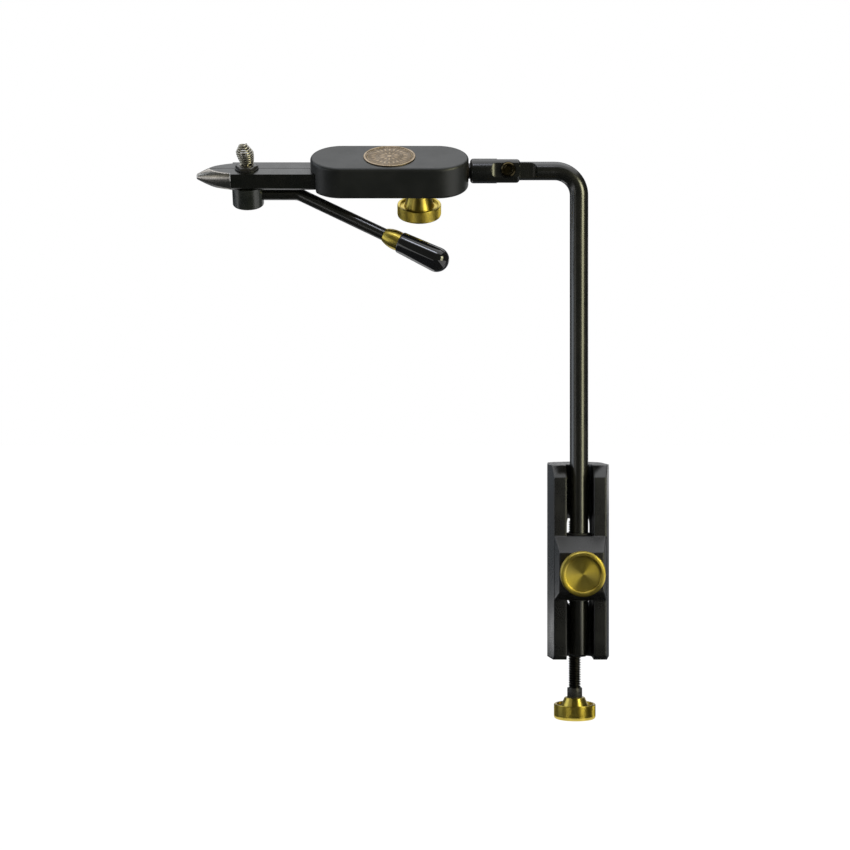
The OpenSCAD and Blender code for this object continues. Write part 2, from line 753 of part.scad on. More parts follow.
// The two jaws in one: the bar with its nose, its tail and its holes
module jaw_blank() difference() {
    union() {
        box([nose_base_x, -jaw_w / 2, jaw_base], [bar_back_x, jaw_w / 2, jaw_top]);
        box([bar_back_x - over, -tail_half, tail_base], [tail_x, tail_half, jaw_top]);
        intersection() {
            translate([nose_tip_x, 0, jaw_mid]) rotate([0, 90, 0]) nose();
            box([nose_tip_x - over, -jaw_w, jaw_base], [nose_base_x, jaw_w, jaw_top]);
        }
    }
    translate([cam_x, 0, jaw_base - over]) linear_extrude(jaw_h + 2 * over)
        cam_oval(2 * clear, face_fit);
    for (s = [-1, 1]) translate([pin_x, s * pin_v, 0])
        rod_z(jaw_base - over, jaw_top + over, pin_d + 2 * fit);
    translate([jaw_spring_x, 0, (jaw_top + tail_base) / 2])
        rod_y(-jaw_spring_half - jaw_spring_room, jaw_spring_half + jaw_spring_room,
            jaw_spring_d + 2 * clear);
    for (s = [-1, 1]) translate([nose_base_x, s * jaw_w / 2, jaw_base]) rotate([45, 0, 0])
        translate([-over, -jaw_edge / 2, -jaw_edge / 2]) cube([bar_len + mouth_len, jaw_edge, jaw_edge]);
}

module front_jaw() color([0.12, 0.12, 0.12]) in_head() intersection() {
    jaw_blank();
    box([nose_tip_x - over, -jaw_w, -head_w], [tail_x + over, -slit / 2, head_w]);
}

module back_jaw() color([0.12, 0.12, 0.12]) in_head() intersection() {
    jaw_blank();
    box([nose_tip_x - over, slit / 2, -head_w], [tail_x + over, jaw_w, head_w]);
}

// Puts its children on the cam shaft's axis, in the head's frame
module at_cam() in_head() translate([cam_x, 0, 0]) children();

module cam_shaft() color([0.3, 0.3, 0.3]) at_cam() {
    rod_z(hub_base + hub_floor, hub_top, cam_foot_d);
    translate([0, 0, hub_top]) linear_extrude(washer_base - hub_top) cam_oval(0, 0);
    rod_z(washer_base, seat_base, cam_top_d);
}

module cam_hub() color([0.13, 0.13, 0.12]) at_cam() difference() {
    translate([0, 0, hub_base]) rotate_extrude() {
        translate([0, hub_edge]) square([hub_d / 2, hub_h - hub_edge]);
        square([hub_d / 2 - hub_edge, hub_h]);
        translate([hub_d / 2 - hub_edge, hub_edge]) circle(hub_edge);
    }
    rod_z(hub_base + hub_floor, hub_top + over, cam_foot_d);
    translate([0, 0, lever_w]) rod_x(rod_in, hub_d, rod_d);
}

// Puts its children at the rod's bend, with the outer run bending down in the X-Z plane
module at_bend() at_cam() translate([shank_len, 0, lever_w]) rotate([-lever_roll, 0, 0]) children();

// Puts its children along the lever's outer run, with +X from the bend to the grip
module on_lever() at_bend() rotate([0, lever_angle, 0]) children();

// Straight length that the bend's arc takes from each run
bend_take = rod_bend_r * tan(lever_angle / 2);

module lever_rod() color([0.12, 0.12, 0.11]) {
    at_bend() {
        rod_x(rod_in - shank_len, bend_lap - bend_take, rod_d);
        translate([-bend_take, 0, -rod_bend_r]) rotate([90, 0, 0]) rotate([0, 0, 90 - lever_angle])
            rotate_extrude(angle = lever_angle) translate([rod_bend_r, 0])
            circle(d = rod_d + bend_swell);
    }
    on_lever() rod_x(bend_take - bend_lap, ferrule_x + rod_tip_in, rod_d);
}

// The ferrule's side: an arc between its two radii
ferrule_chord = norm([ferrule_len, (ferrule_d1 - ferrule_d0) / 2]);
ferrule_tilt = atan2((ferrule_d1 - ferrule_d0) / 2, ferrule_len);
ferrule_sag = sqrt(ferrule_arc * ferrule_arc - ferrule_chord * ferrule_chord / 4);

module lever_ferrule() color([0.72, 0.62, 0.28]) on_lever() translate([ferrule_x, 0, 0])
    rotate([0, 90, 0]) rotate_extrude() difference() {
        intersection() {
            translate([(ferrule_d0 + ferrule_d1) / 4 - ferrule_sag * cos(ferrule_tilt),
                ferrule_len / 2 + ferrule_sag * sin(ferrule_tilt)]) circle(ferrule_arc);
            square([ferrule_d1, ferrule_len]);
        }
        translate([0, -over]) square([rod_d / 2, ferrule_len + 2 * over]);
    }

module lever_grip() color([0.05, 0.05, 0.06]) on_lever()
    translate([ferrule_x + ferrule_len, 0, 0]) rotate([0, 90, 0]) difference() {
        union() {
            cylinder(h = grip_edge, d1 = grip_d0 - 2 * grip_edge, d2 = grip_d0);
            translate([0, 0, grip_edge])
                cylinder(h = grip_len - grip_edge - grip_d / 2, d1 = grip_d0, d2 = grip_d);
            translate([0, 0, grip_len - grip_d / 2]) rotate_extrude() intersection() {
                circle(d = grip_d);
                square([grip_d, grip_d]);
            }
        }
        rod_z(-over, rod_tip_in - ferrule_len, rod_d);
    }

module jaw_washer() color([0.1, 0.1, 0.1]) at_cam() difference() {
    rod_z(washer_base, nut_base, jaw_washer_d);
    rod_z(washer_base - over, nut_base + over, cam_top_d + 2 * fit);
}

module jaw_nut() color([0.14, 0.14, 0.14]) at_cam() difference() {
    intersection() {
        hex_z(nut_base, seat_base, jaw_nut_af);
        union() {
            rod_z(nut_base, seat_base - nut_edge, jaw_nut_af + 2 * over);
            translate([0, 0, seat_base - nut_edge])
                cylinder(h = nut_edge, d1 = jaw_nut_af + nut_edge * 3, d2 = jaw_nut_af - nut_edge);
        }
    }
    rod_z(nut_base - over, seat_base + over, cam_top_d + 2 * fit);
}

module spring_seat() color([0.5, 0.5, 0.5]) at_cam() {
    rod_z(seat_base, coil_base, seat_d);
    rod_z(coil_base, coil_base + seat_pin_h, seat_pin_d);
}

// The spring's centre line: a share t of the way up, its angle, its radius and its place
coil_shift = 0.3;
coil_lift = 0.75 * wire_d;
function coil_angle(t) = 360 * coil_turns * t;
function coil_r(t) = t < coil_waist_share
    ? coil_foot_r + (coil_mid_r - coil_foot_r) * sin(90 * t / coil_waist_share)
    : coil_top_r + (coil_mid_r - coil_top_r) * cos(90 * (t - coil_waist_share) / (1 - coil_waist_share));
function coil_point(t) = coil_r(t) * radial(t)
    + [coil_shift - coil_lean * t, 0, coil_base + coil_lift + (coil_h - coil_lift - wire_d / 2) * t];
function radial(t) = [cos(coil_angle(t)), sin(coil_angle(t)), 0];

// The tube's path: a foot that stands on the seat, the coil, and a straight end
rings_per_turn = 8;
tube_sides = 6;
ring_count = rings_per_turn * coil_turns;
coil_foot = [for (z = [0, coil_lift / 2]) [coil_foot_r + coil_shift, -wire_d, coil_base + z]];
coil_rings = [for (i = [0:ring_count]) coil_point(i / ring_count)];
coil_end = coil_point(1) + wire_d * cross([0, 0, 1], radial(1));
coil_path = concat(coil_foot, coil_rings, [coil_end]);
coil_sides = concat([radial(0), radial(0)], [for (i = [0:ring_count]) radial(i / ring_count)],
    [radial(1)]);

// The path's direction at point i
function path_dir(p, i) = i < 2 ? [0, 0, 1]
    : let(d = p[min(i + 1, len(p) - 1)] - p[i - 1]) d / norm(d);

// Corners of the ring at c, square to the direction d, counted round from the side given
function tube_ring(c, d, side, r) = let(s = cross(d, side) / norm(cross(d, side)), v = cross(s, d))
    [for (k = [0:tube_sides - 1]) let(a = 360 * k / tube_sides) c + r * (cos(a) * s + sin(a) * v)];

// A tube of triangles along the path p
module tube(p, side, r) {
    m = tube_sides;
    last = (len(p) - 1) * m;
    walls = [for (i = [0:len(p) - 2], k = [0:m - 1]) let(a = i * m + k, b = i * m + (k + 1) % m)
        each [[a, b + m, b], [a, a + m, b + m]]];
    ends = [for (k = [1:m - 2]) each [[0, k, k + 1], [last, last + k + 1, last + k]]];
    polyhedron(points = [for (i = [0:len(p) - 1]) each tube_ring(p[i], path_dir(p, i), side[i], r)],
        faces = concat(walls, ends));
}

// The least gap of the tube to itself, from its rings a half turn apart or more
coil_gap = min([for (i = [0:ring_count], j = [i + rings_per_turn / 2:1:ring_count])
    norm(coil_rings[i] - coil_rings[j]) - wire_d]);
echo(str("least gap of the spring's tube to itself, mm: ", coil_gap));

module material_spring() color([0.75, 0.74, 0.7]) at_cam() tube(coil_path, coil_sides, wire_d / 2);

clamp_body();
clamp_screw();
screw_collar();
clamp_knob();
swivel_pad();
pad_circlip();
stem_bush();
stem_slug();
stem_knob();
stem_knob_stud();
stem();
neck();
pivot_bolt();
pivot_washers();
pivot_nut();
spindle_ring();
head_body();
head_cover();
cover_screws();
medallion();
neck_bush();
head_slug();
head_knob();
head_knob_stud();
jaw_pins();
jaw_spring();
front_jaw();
back_jaw();
cam_shaft();
cam_hub();
lever_rod();
lever_ferrule();
lever_grip();
jaw_washer();
jaw_nut();
spring_seat();
material_spring();
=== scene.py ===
# %% [markdown]
# A fly tying vise, seen in its maker's finishes. The CAD model gives every piece its size and its
# place. This script only gives looks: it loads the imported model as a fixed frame, swaps a few
# nodes for finer meshes, and gives each surface a finish made of shader nodes.

# %% Load the frame
import json
import math

import bmesh
import bpy
from mathutils import Matrix, Vector


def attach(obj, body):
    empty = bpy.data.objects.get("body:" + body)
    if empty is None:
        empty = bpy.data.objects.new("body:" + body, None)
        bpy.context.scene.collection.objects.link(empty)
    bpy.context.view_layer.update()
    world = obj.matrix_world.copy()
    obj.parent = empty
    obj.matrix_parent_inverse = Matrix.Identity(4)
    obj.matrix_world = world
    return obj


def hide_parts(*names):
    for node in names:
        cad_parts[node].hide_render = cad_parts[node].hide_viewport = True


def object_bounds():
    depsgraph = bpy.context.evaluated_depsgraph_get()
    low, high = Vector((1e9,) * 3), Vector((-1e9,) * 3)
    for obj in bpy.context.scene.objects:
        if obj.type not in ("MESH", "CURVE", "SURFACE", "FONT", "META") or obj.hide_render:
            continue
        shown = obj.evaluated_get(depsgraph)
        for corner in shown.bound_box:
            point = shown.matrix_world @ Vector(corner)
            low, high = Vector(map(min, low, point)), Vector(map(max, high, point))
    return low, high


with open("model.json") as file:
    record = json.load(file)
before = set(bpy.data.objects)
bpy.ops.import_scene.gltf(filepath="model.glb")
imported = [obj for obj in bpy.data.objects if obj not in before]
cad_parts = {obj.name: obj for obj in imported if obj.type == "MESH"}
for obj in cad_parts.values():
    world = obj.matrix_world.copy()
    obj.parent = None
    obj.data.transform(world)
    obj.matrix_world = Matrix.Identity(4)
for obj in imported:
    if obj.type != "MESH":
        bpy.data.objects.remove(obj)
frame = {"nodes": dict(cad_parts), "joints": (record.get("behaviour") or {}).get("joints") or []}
cad_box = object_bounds()
MM = 0.001
MICRON = 0.001 * MM
print("CAD box in mm:", [[round(c / MM, 1) for c in corner] for corner in cad_box])

# %% [markdown]
# The camera stands far in front of the stem, with a long lens. The picture's middle lies a little
# under the horizon. A tilted camera would show that too, but it would make the uprights lean, so
# the lens is shifted down instead, as on a view camera.

# %% Camera
CAMERA_AT = Vector((-79.3, -1033, 56.8)) * MM
IMAGE_SIDE = 850
FOCAL_PX = 1950
HORIZON_Y = 380
SENSOR = 36
CLIP_START = 10 * MM


def put(name, data):
    """A new object of the scene for a camera, a lamp or a mesh."""
    made = bpy.data.objects.new(name, data)
    bpy.context.scene.collection.objects.link(made)
    return made


lens = bpy.data.cameras.new("camera")
lens.sensor_width = SENSOR
lens.lens = FOCAL_PX / IMAGE_SIDE * SENSOR
lens.shift_y = (HORIZON_Y - IMAGE_SIDE / 2) / IMAGE_SIDE
lens.clip_start = CLIP_START
camera = put("camera", lens)
camera.location = CAMERA_AT
camera.rotation_euler = (math.pi / 2, 0, 0)
bpy.context.scene.camera = camera
print("lens in mm:", round(lens.lens, 1), "shift:", round(lens.shift_y, 3))

# %% [markdown]
# The studio is a white room. Rays that the eye, a mirror or glass sends out see pure white, while
# the soft fill that falls on the object is weaker. More light would whiten the room too, but it
# would bleach the object with it. Short helpers keep such nets of nodes readable.

# %% White room
FILL = 0.55


def add(tree, kind, inputs=None, **settings):
    """Adds a node of that kind, with its settings and the values of its input sockets."""
    made = tree.nodes.new(kind)
    for key, value in settings.items():
        setattr(made, key, value)
    for key, value in (inputs or {}).items():
        made.inputs[key].default_value = value
    return made


def join(tree, source, out, target, into):
    """Joins an output socket of one node to an input socket of another."""
    tree.links.new(source.outputs[out], target.inputs[into])


def bare_net(thing):
    """The node tree of a world or a material, without the nodes that it starts with."""
    thing.use_nodes = True
    thing.node_tree.nodes.clear()
    return thing.node_tree


def sees_background(tree):
    """A factor of 1 for eye, mirror and glass rays, and 0 for light that bounces."""
    path = add(tree, "ShaderNodeLightPath")
    eye = add(tree, "ShaderNodeMath", operation="MAXIMUM")
    join(tree, path, "Is Camera Ray", eye, 0)
    join(tree, path, "Is Glossy Ray", eye, 1)
    both = add(tree, "ShaderNodeMath", operation="MAXIMUM")
    join(tree, eye, 0, both, 0)
    join(tree, path, "Is Transmission Ray", both, 1)
    return both


room = bpy.data.worlds.new("white_room")
net = bare_net(room)
strength = add(net, "ShaderNodeMapRange", {"To Min": FILL, "To Max": 1.0})
join(net, sees_background(net), 0, strength, "Value")
light = add(net, "ShaderNodeBackground", {"Color": (1, 1, 1, 1)})
join(net, strength, "Result", light, "Strength")
join(net, light, 0, add(net, "ShaderNodeOutputWorld"), "Surface")
bpy.context.scene.world = room
bpy.context.scene.view_settings.view_transform = "Standard"
print("white room, with a fill of", FILL)

# %% [markdown]
# The floor is pale, and part of its brightness is its own, so that it stays white and still takes
# the object's shadow. The vise hangs on a table's edge, and its screw and stem can come down
# further, so the floor lies under the lowest place that they reach.

# %% Floor
FLOOR_GAP = 58 * MM
FLOOR_HALF = 6
FLOOR_OWN_SHARE = 0.86
FLOOR_OWN_LIGHT = 1.10
FLOOR_COLOUR = (0.84, 0.84, 0.84, 1)


def plate(name, corners):
    """A flat four-cornered mesh of the stage."""
    mesh = bpy.data.meshes.new(name)
    mesh.from_pydata([Vector(c) for c in corners], [], [(0, 1, 2, 3)])
    made = put(name, mesh)
    return made


floor_z = cad_box[0].z - FLOOR_GAP
floor = plate("floor", [(x * FLOOR_HALF, y * FLOOR_HALF, floor_z)
                        for x, y in ((-1, -1), (1, -1), (1, 1), (-1, 1))])
pale = bpy.data.materials.new("pale_floor")
net = bare_net(pale)
own = add(net, "ShaderNodeMath", {1: FLOOR_OWN_SHARE}, operation="MULTIPLY")
join(net, sees_background(net), 0, own, 0)
mix = add(net, "ShaderNodeMixShader")
join(net, own, 0, mix, 0)
join(net, add(net, "ShaderNodeBsdfDiffuse", {"Color": FLOOR_COLOUR}), 0, mix, 1)
glow = add(net, "ShaderNodeEmission", {"Color": (1, 1, 1, 1), "Strength": FLOOR_OWN_LIGHT})
join(net, glow, 0, mix, 2)
join(net, mix, 0, add(net, "ShaderNodeOutputMaterial"), "Surface")
floor.data.materials.append(pale)
print("floor at", round(floor_z / MM, 1), "mm")

# %% [markdown]
# Dark shiny metal has no colour of its own to show: it shows the studio. A photographer therefore
# sets softboxes where a bright line should run along each rod. A large box hangs above and a cool
# one on the left. A small panel high in front lights upper edges, one on the right gives the stem
# its olive line, a dim one on the left lights the jaws' nose, and one opens a bright fan in the
# turned brass. Spot lamps would only leave small hard dots.

# %% Softboxes
AIM = (-0.08, 0, 0.06)


def softbox(name, at, width, height, radiance, colour):
    """An area lamp at a place, aimed at the object, whose face has that radiance."""
    lamp = bpy.data.lights.new(name, "AREA")
    lamp.shape = "RECTANGLE"
    lamp.size = width
    lamp.size_y = height
    lamp.energy = radiance * math.pi * width * height
    lamp.color = colour
    made = put(name, lamp)
    made.location = at
    made.rotation_euler = (Vector(at) - Vector(AIM)).to_track_quat("Z", "Y").to_euler()


SOFTBOXES = (
    ("top_box", (-0.1, 0.25, 1.15), 1.3, 1.0, 0.62, (0.92, 0.96, 1.0)),
    ("left_box", (-1.22, 0.06, 0.35), 0.9, 1.2, 1.35, (0.86, 0.93, 1.0)),
    ("upper_panel", (-0.17, -0.64, 1.10), 0.3, 0.14, 9.0, (0.80, 0.84, 1.0)),
    ("left_panel", (-1.0, -0.72, 0.10), 0.34, 0.34, 0.65, (1.0, 0.96, 0.82)),
    ("knob_panel", (0.62, -0.6, 0.36), 0.34, 0.3, 9.0, (1.0, 0.97, 0.62)),
    ("right_panel", (0.75, -0.85, 0.05), 0.46, 0.33, 5.0, (1.0, 0.97, 0.60)),
)
for row in SOFTBOXES:
    softbox(*row)
print(len(SOFTBOXES), "softboxes")

# %% [markdown]
# Where the metal should stay black, the photographer hangs dark cloth: behind the camera, at both
# sides, and under and behind the object, with gaps that give pale lines. Only mirror rays see these
# cards, so they never block the view or the light. A darker world would darken the background too.

# %% Cards of dark cloth
CARD_Y, CARD_HALF, CARD_TOP, CARD_LIFT = -1.6, 1.7, 1.9, 1.6 * MM
CARD_FLOOR_Z, CARD_FLOOR_Y = cad_box[0].z + CARD_LIFT, 0.12
BACK_Y, MAT_LEFT, MAT_RIGHT, GAP_X, LINTEL = 1.9, -0.68, 0.12, -0.04, 0.3
SLOT_LEFT, BACK_MAT_LEFT, BACK_MAT_Y = -0.32, -0.13, 0.42


def cloth(name, radiance):
    """A cloth of one even brightness, for a card that only mirror rays see."""
    made = bpy.data.materials.new(name)
    net = bare_net(made)
    glow = add(net, "ShaderNodeEmission", {"Color": (*radiance, 1), "Strength": 1.0})
    join(net, glow, 0, add(net, "ShaderNodeOutputMaterial"), "Surface")
    return made


def wall(x0, y0, x1, y1, low=floor_z):
    """Corners of an upright card over a line on the floor."""
    return [(x0, y0, low), (x1, y1, low), (x1, y1, CARD_TOP), (x0, y0, CARD_TOP)]


def mat(x0, y0, x1, y1):
    """Corners of a card that lies flat under the object."""
    return [(x, y, CARD_FLOOR_Z) for x, y in ((x0, y0), (x1, y0), (x1, y1), (x0, y1))]


dim = cloth("dim_cloth", (0.075, 0.075, 0.062))
dark = cloth("dark_cloth", (0.03, 0.032, 0.032))
grey = cloth("grey_cloth", (0.11, 0.12, 0.13))
light_grey = cloth("light_grey_cloth", (0.15, 0.165, 0.18))
CARDS = (
    ("card_behind_camera", wall(-CARD_HALF, CARD_Y, CARD_HALF, CARD_Y), dim),
    ("card_on_the_right", wall(CARD_HALF, CARD_Y, CARD_HALF, BACK_Y), dark),
    ("card_on_the_left", wall(-CARD_HALF, CARD_Y, -CARD_HALF, BACK_Y), dark),
    ("card_behind_left", wall(-CARD_HALF, BACK_Y, GAP_X, BACK_Y), light_grey),
    ("card_behind_right", wall(GAP_X, BACK_Y, CARD_HALF, BACK_Y, LINTEL), grey),
    ("card_on_the_floor", mat(MAT_LEFT, CARD_Y, MAT_RIGHT, CARD_FLOOR_Y), dark),
    ("card_on_the_floor_behind", mat(BACK_MAT_LEFT, CARD_FLOOR_Y, CARD_HALF, BACK_Y), grey),
    ("card_on_the_floor_far_left", mat(-CARD_HALF, CARD_FLOOR_Y, SLOT_LEFT, BACK_Y), grey),
    ("card_on_the_floor_beyond", mat(SLOT_LEFT, BACK_MAT_Y, BACK_MAT_LEFT, BACK_Y), grey),
)
for name, corners, material in CARDS:
    card = plate(name, corners)
    card.data.materials.append(material)
    card.visible_camera = False
    card.visible_diffuse = False
    card.visible_shadow = False
    card.visible_transmission = False
print(len(CARDS), "cards of cloth")

# %% [markdown]
# Pieces in the head are turned with it, and the lever is bent away from it. Each gets a place of
# its own, in which it is upright and its sizes read as they do on a drawing. The places could be
# typed, but taken from the frame's joints they follow the model.

# %% Places of the pieces
joint = {j["name"]: j for j in frame["joints"]}


def shift(x, y, z):
    """A move along the three axes, in metres."""
    return Matrix.Translation((x, y, z))


def turn(degrees, axis):
    """A turn about one axis."""
    return Matrix.Rotation(math.radians(degrees), 4, axis)


def box_in(node, place):
    """Lowest and highest corner of a CAD node, measured in a place of its own."""
    back = place.inverted()
    points = [back @ v.co for v in frame["nodes"][node].data.vertices]
    return (Vector([min(p[i] for p in points) for i in range(3)]),
            Vector([max(p[i] for p in points) for i in range(3)]))


def on_axis(node, place):
    """The place moved sideways onto the middle of a node, and along to its lowest point."""
    low, high = box_in(node, place)
    return place @ shift((low.x + high.x) / 2, (low.y + high.y) / 2, low.z)


lever_axis = Vector(joint["cam_lever"]["axis"])
head_roll = math.degrees(math.atan2(lever_axis.y, -lever_axis.z))
_, stem_y, neck_z = joint["head_rotary"]["pos_m"]
head_place = shift(0, stem_y, neck_z) @ turn(head_roll, "X")
cam_x = joint["cam_lever"]["pos_m"][0]
cam_place = head_place @ shift(cam_x, 0, 0)
print("head turned by", round(head_roll, 1), "degrees, cam at", round(cam_x / MM, 1), "mm")

# %% [markdown]
# A finish starts with Object coordinates, which stay on the piece, and a Mapping node turns them
# into the piece's own place. On a turned part the pattern is drawn in the distance to the axis and
# the height along it, so a plain noise becomes the fine circles that a lathe leaves. They also
# stretch a highlight across them. An image could show this too, but it blurs up close.

# %% Coordinates of a finish
QUARTER_TURN = 0.25


def placed(net, at, spin):
    """Object coordinates, and the same coordinates seen from a place."""
    coordinates = add(net, "ShaderNodeTexCoord")
    centred = add(net, "ShaderNodeMapping", {"Location": at, "Rotation": spin.to_euler()},
                  vector_type="TEXTURE")
    join(net, coordinates, "Object", centred, "Vector")
    return coordinates, centred


def lathe_lines(net, centred):
    """Coordinates of radius and height, in which any pattern runs in circles round the axis."""
    parts = add(net, "ShaderNodeSeparateXYZ")
    join(net, centred, 0, parts, 0)
    flat = add(net, "ShaderNodeCombineXYZ")
    join(net, parts, "X", flat, "X")
    join(net, parts, "Y", flat, "Y")
    radius = add(net, "ShaderNodeVectorMath", operation="LENGTH")
    join(net, flat, 0, radius, 0)
    where = add(net, "ShaderNodeCombineXYZ")
    join(net, radius, "Value", where, "X")
    join(net, parts, "Z", where, "Y")
    return where


def brush(net, shader, coordinates, at, spin, amount):
    """Spreads highlights across the circles of a lathe, by that amount."""
    shader.inputs["Anisotropic"].default_value = amount
    shader.inputs["Anisotropic Rotation"].default_value = QUARTER_TURN
    arm = add(net, "ShaderNodeVectorMath", {1: at}, operation="SUBTRACT")
    join(net, coordinates, "Object", arm, 0)
    circle = add(net, "ShaderNodeVectorMath", {0: spin @ Vector((0, 0, 1))},
                 operation="CROSS_PRODUCT")
    join(net, arm, 0, circle, 1)
    world = add(net, "ShaderNodeVectorTransform", vector_type="VECTOR",
                convert_from="OBJECT", convert_to="WORLD")
    join(net, circle, 0, world, 0)
    join(net, world, 0, shader, "Tangent")


print("patterns: placed, lathe_lines and brush")

# %% [markdown]
# A real finish is never one flat colour. The builder adds three patterns to the shader's plain
# values: soft clouds between two near colours, the same clouds in the roughness, and a fine grain
# as bump. The first finish is the bright steel of studs, pins and small screws.

# %% Builder of finishes
CLOUD_LOW, CLOUD_HIGH = 0.35, 0.65
CLOUD_DETAIL, GRAIN_DETAIL = 3, 2
EASE_SAMPLES = 8


def finish(name, colours, roughness, metallic=0.0, specular=0.5, rough_share=0.25,
           cloud=8 * MM, grain=0.25 * MM, depth=0.004 * MM, place=None, turned=False,
           painted_hollow_shade=None, brushed=0.0, ease=0.0):
    """A material with clouds of two colours, uneven roughness and a fine grain.

    Painted shade darkens the base colour from a high level in the place down to a low one, where
    the given share of the colour is left.
    Brushed spreads light across the circles of a lathe, and ease is how far edges look rounded."""
    made = bpy.data.materials.new(name)
    made.use_nodes = True
    net = made.node_tree
    shader = net.nodes["Principled BSDF"]
    shader.inputs["Metallic"].default_value = metallic
    shader.inputs["Specular IOR Level"].default_value = specular
    at, spin, _ = (place or Matrix()).decompose()
    coordinates, centred = placed(net, at, spin)
    clouds = add(net, "ShaderNodeTexNoise", {"Scale": 1 / cloud, "Detail": CLOUD_DETAIL})
    join(net, centred, 0, clouds, "Vector")
    fine = add(net, "ShaderNodeTexNoise", {"Scale": 1 / grain, "Detail": GRAIN_DETAIL})
    join(net, lathe_lines(net, centred) if turned else centred, 0, fine, "Vector")
    share = add(net, "ShaderNodeMapRange", {"From Min": CLOUD_LOW, "From Max": CLOUD_HIGH})
    join(net, clouds, "Fac", share, "Value")
    mix = add(net, "ShaderNodeMix", {6: (*colours[0], 1), 7: (*colours[1], 1)}, data_type="RGBA")
    join(net, share, "Result", mix, 0)
    painted, out = mix, 2
    # Painted shade: the base colour is scaled down towards the low level, so hollows look shaded.
    if painted_hollow_shade:
        level = add(net, "ShaderNodeSeparateXYZ")
        join(net, centred, 0, level, 0)
        light = add(net, "ShaderNodeMapRange", {"From Min": painted_hollow_shade[0], "From Max": painted_hollow_shade[1],
                                                "To Min": painted_hollow_shade[2]})
        join(net, level, "Z", light, "Value")
        painted, out = add(net, "ShaderNodeVectorMath", operation="SCALE"), 0
        join(net, mix, 2, painted, 0)
        join(net, light, "Result", painted, "Scale")
    join(net, painted, out, shader, "Base Color")
    both = add(net, "ShaderNodeMath", operation="ADD")
    join(net, clouds, "Fac", both, 0)
    join(net, fine, "Fac", both, 1)
    rough = add(net, "ShaderNodeMapRange", {"From Min": 2 * CLOUD_LOW, "From Max": 2 * CLOUD_HIGH,
                                            "To Min": roughness * (1 - rough_share),
                                            "To Max": roughness * (1 + rough_share)})
    join(net, both, 0, rough, "Value")
    join(net, rough, "Result", shader, "Roughness")
    bump = add(net, "ShaderNodeBump", {"Distance": depth, "Strength": 1.0})
    join(net, fine, "Fac", bump, "Height")
    join(net, bump, 0, shader, "Normal")
    if ease:
        soft = add(net, "ShaderNodeBevel", {"Radius": ease}, samples=EASE_SAMPLES)
        join(net, soft, 0, bump, "Normal")
    if brushed:
        brush(net, shader, coordinates, at, spin, brushed)
    return made


bright = finish("bright_steel", ((0.42, 0.41, 0.39), (0.36, 0.35, 0.33)), 0.3, metallic=1.0)
print(bright.name, "is made of", len(bright.node_tree.nodes), "nodes")

# %% [markdown]
# Turned parts, such as the thumb knobs, are bodies of revolution. An outline of radius and height
# is drawn once and turned about its axis. The Spin tool could do it, but mesh code also closes the
# poles. Each corner of the outline is eased, because only an eased edge catches a line of light.

# %% Turned pieces
SIDES = 128
EASE_STEPS = 4
SMOOTH_ANGLE = math.radians(32)
HALF_SHARE = 0.45
TURNED_MERGE = 0.1 * MICRON


def eased(outline):
    """Rounds each corner of an outline. A point is radius, height and the size of its rounding."""
    made = [Vector(outline[0][:2])]
    for before, corner, after in zip(outline, outline[1:], outline[2:]):
        here, size = Vector(corner[:2]), corner[2]
        back, on = Vector(before[:2]) - here, Vector(after[:2]) - here
        reach = min(size, back.length * HALF_SHARE, on.length * HALF_SHARE)
        start, end = here + back.normalized() * reach, here + on.normalized() * reach
        for i in range(EASE_STEPS + 1):
            t = i / EASE_STEPS
            made.append(start.lerp(here, t).lerp(here.lerp(end, t), t))
    return made + [Vector(outline[-1][:2])]


def skin(build, rows, count):
    """Joins rows of corners with that many faces a row. A row of one corner is a tip."""
    for low, high in zip(rows, rows[1:]):
        for k in range(count):
            corners = [low[k % len(low)], low[(k + 1) % len(low)],
                       high[(k + 1) % len(high)], high[k % len(high)]]
            build.faces.new(list(dict.fromkeys(corners)))


def turned_build(outline, place, sides=SIDES):
    """Turns an outline about the Z axis of a place. It starts and ends on the axis, or closes."""
    build = bmesh.new()
    rings = []
    for radius, height in outline:
        count = sides if radius > 0 else 1
        rings.append([build.verts.new(place @ Vector((
            radius * math.cos(math.tau * k / sides), radius * math.sin(math.tau * k / sides),
            height))) for k in range(count)])
    skin(build, rings, sides)
    return build


def new_piece(name, build, material):
    """Makes an object of a bmesh, with its faces turned outwards and its shading smooth."""
    bmesh.ops.remove_doubles(build, verts=build.verts, dist=TURNED_MERGE)
    bmesh.ops.recalc_face_normals(build, faces=build.faces)
    mesh = bpy.data.meshes.new(name)
    build.to_mesh(mesh)
    build.free()
    mesh.materials.append(material)
    mesh.shade_smooth()
    mesh.set_sharp_from_angle(angle=SMOOTH_ANGLE)
    return put(name, mesh)


print("a turned piece has", SIDES, "sides, and", EASE_STEPS, "steps in each eased corner")

# %% [markdown]
# What repeats, or follows a rule, is made by Geometry Nodes. Each tree takes a mesh, a material and
# its sizes as named inputs. It ends by making copies real, because an export drops instances, and
# by setting the material. The result is kept as a plain mesh.

# %% Trees of Geometry Nodes
def new_tree(name, inputs):
    """An empty tree and its input node. Each input has a name, a kind and a first value."""
    tree = bpy.data.node_groups.new(name, "GeometryNodeTree")
    for way in ("INPUT", "OUTPUT"):
        tree.interface.new_socket("Geometry", in_out=way, socket_type="NodeSocketGeometry")
    for label, kind, value in inputs:
        socket = tree.interface.new_socket(label, in_out="INPUT", socket_type=kind)
        socket.default_value = value
    tree.interface.new_socket("Material", in_out="INPUT", socket_type="NodeSocketMaterial")
    return tree, add(tree, "NodeGroupInput")


def end_tree(tree, given, last):
    """Ends a tree: copies are made real, and every face takes the given material."""
    real = add(tree, "GeometryNodeRealizeInstances")
    join(tree, last, 0, real, 0)
    dressed = add(tree, "GeometryNodeSetMaterial")
    join(tree, real, 0, dressed, "Geometry")
    join(tree, given, "Material", dressed, "Material")
    join(tree, dressed, 0, add(tree, "NodeGroupOutput"), 0)
    print(tree.name, "has", len(tree.nodes), "nodes")


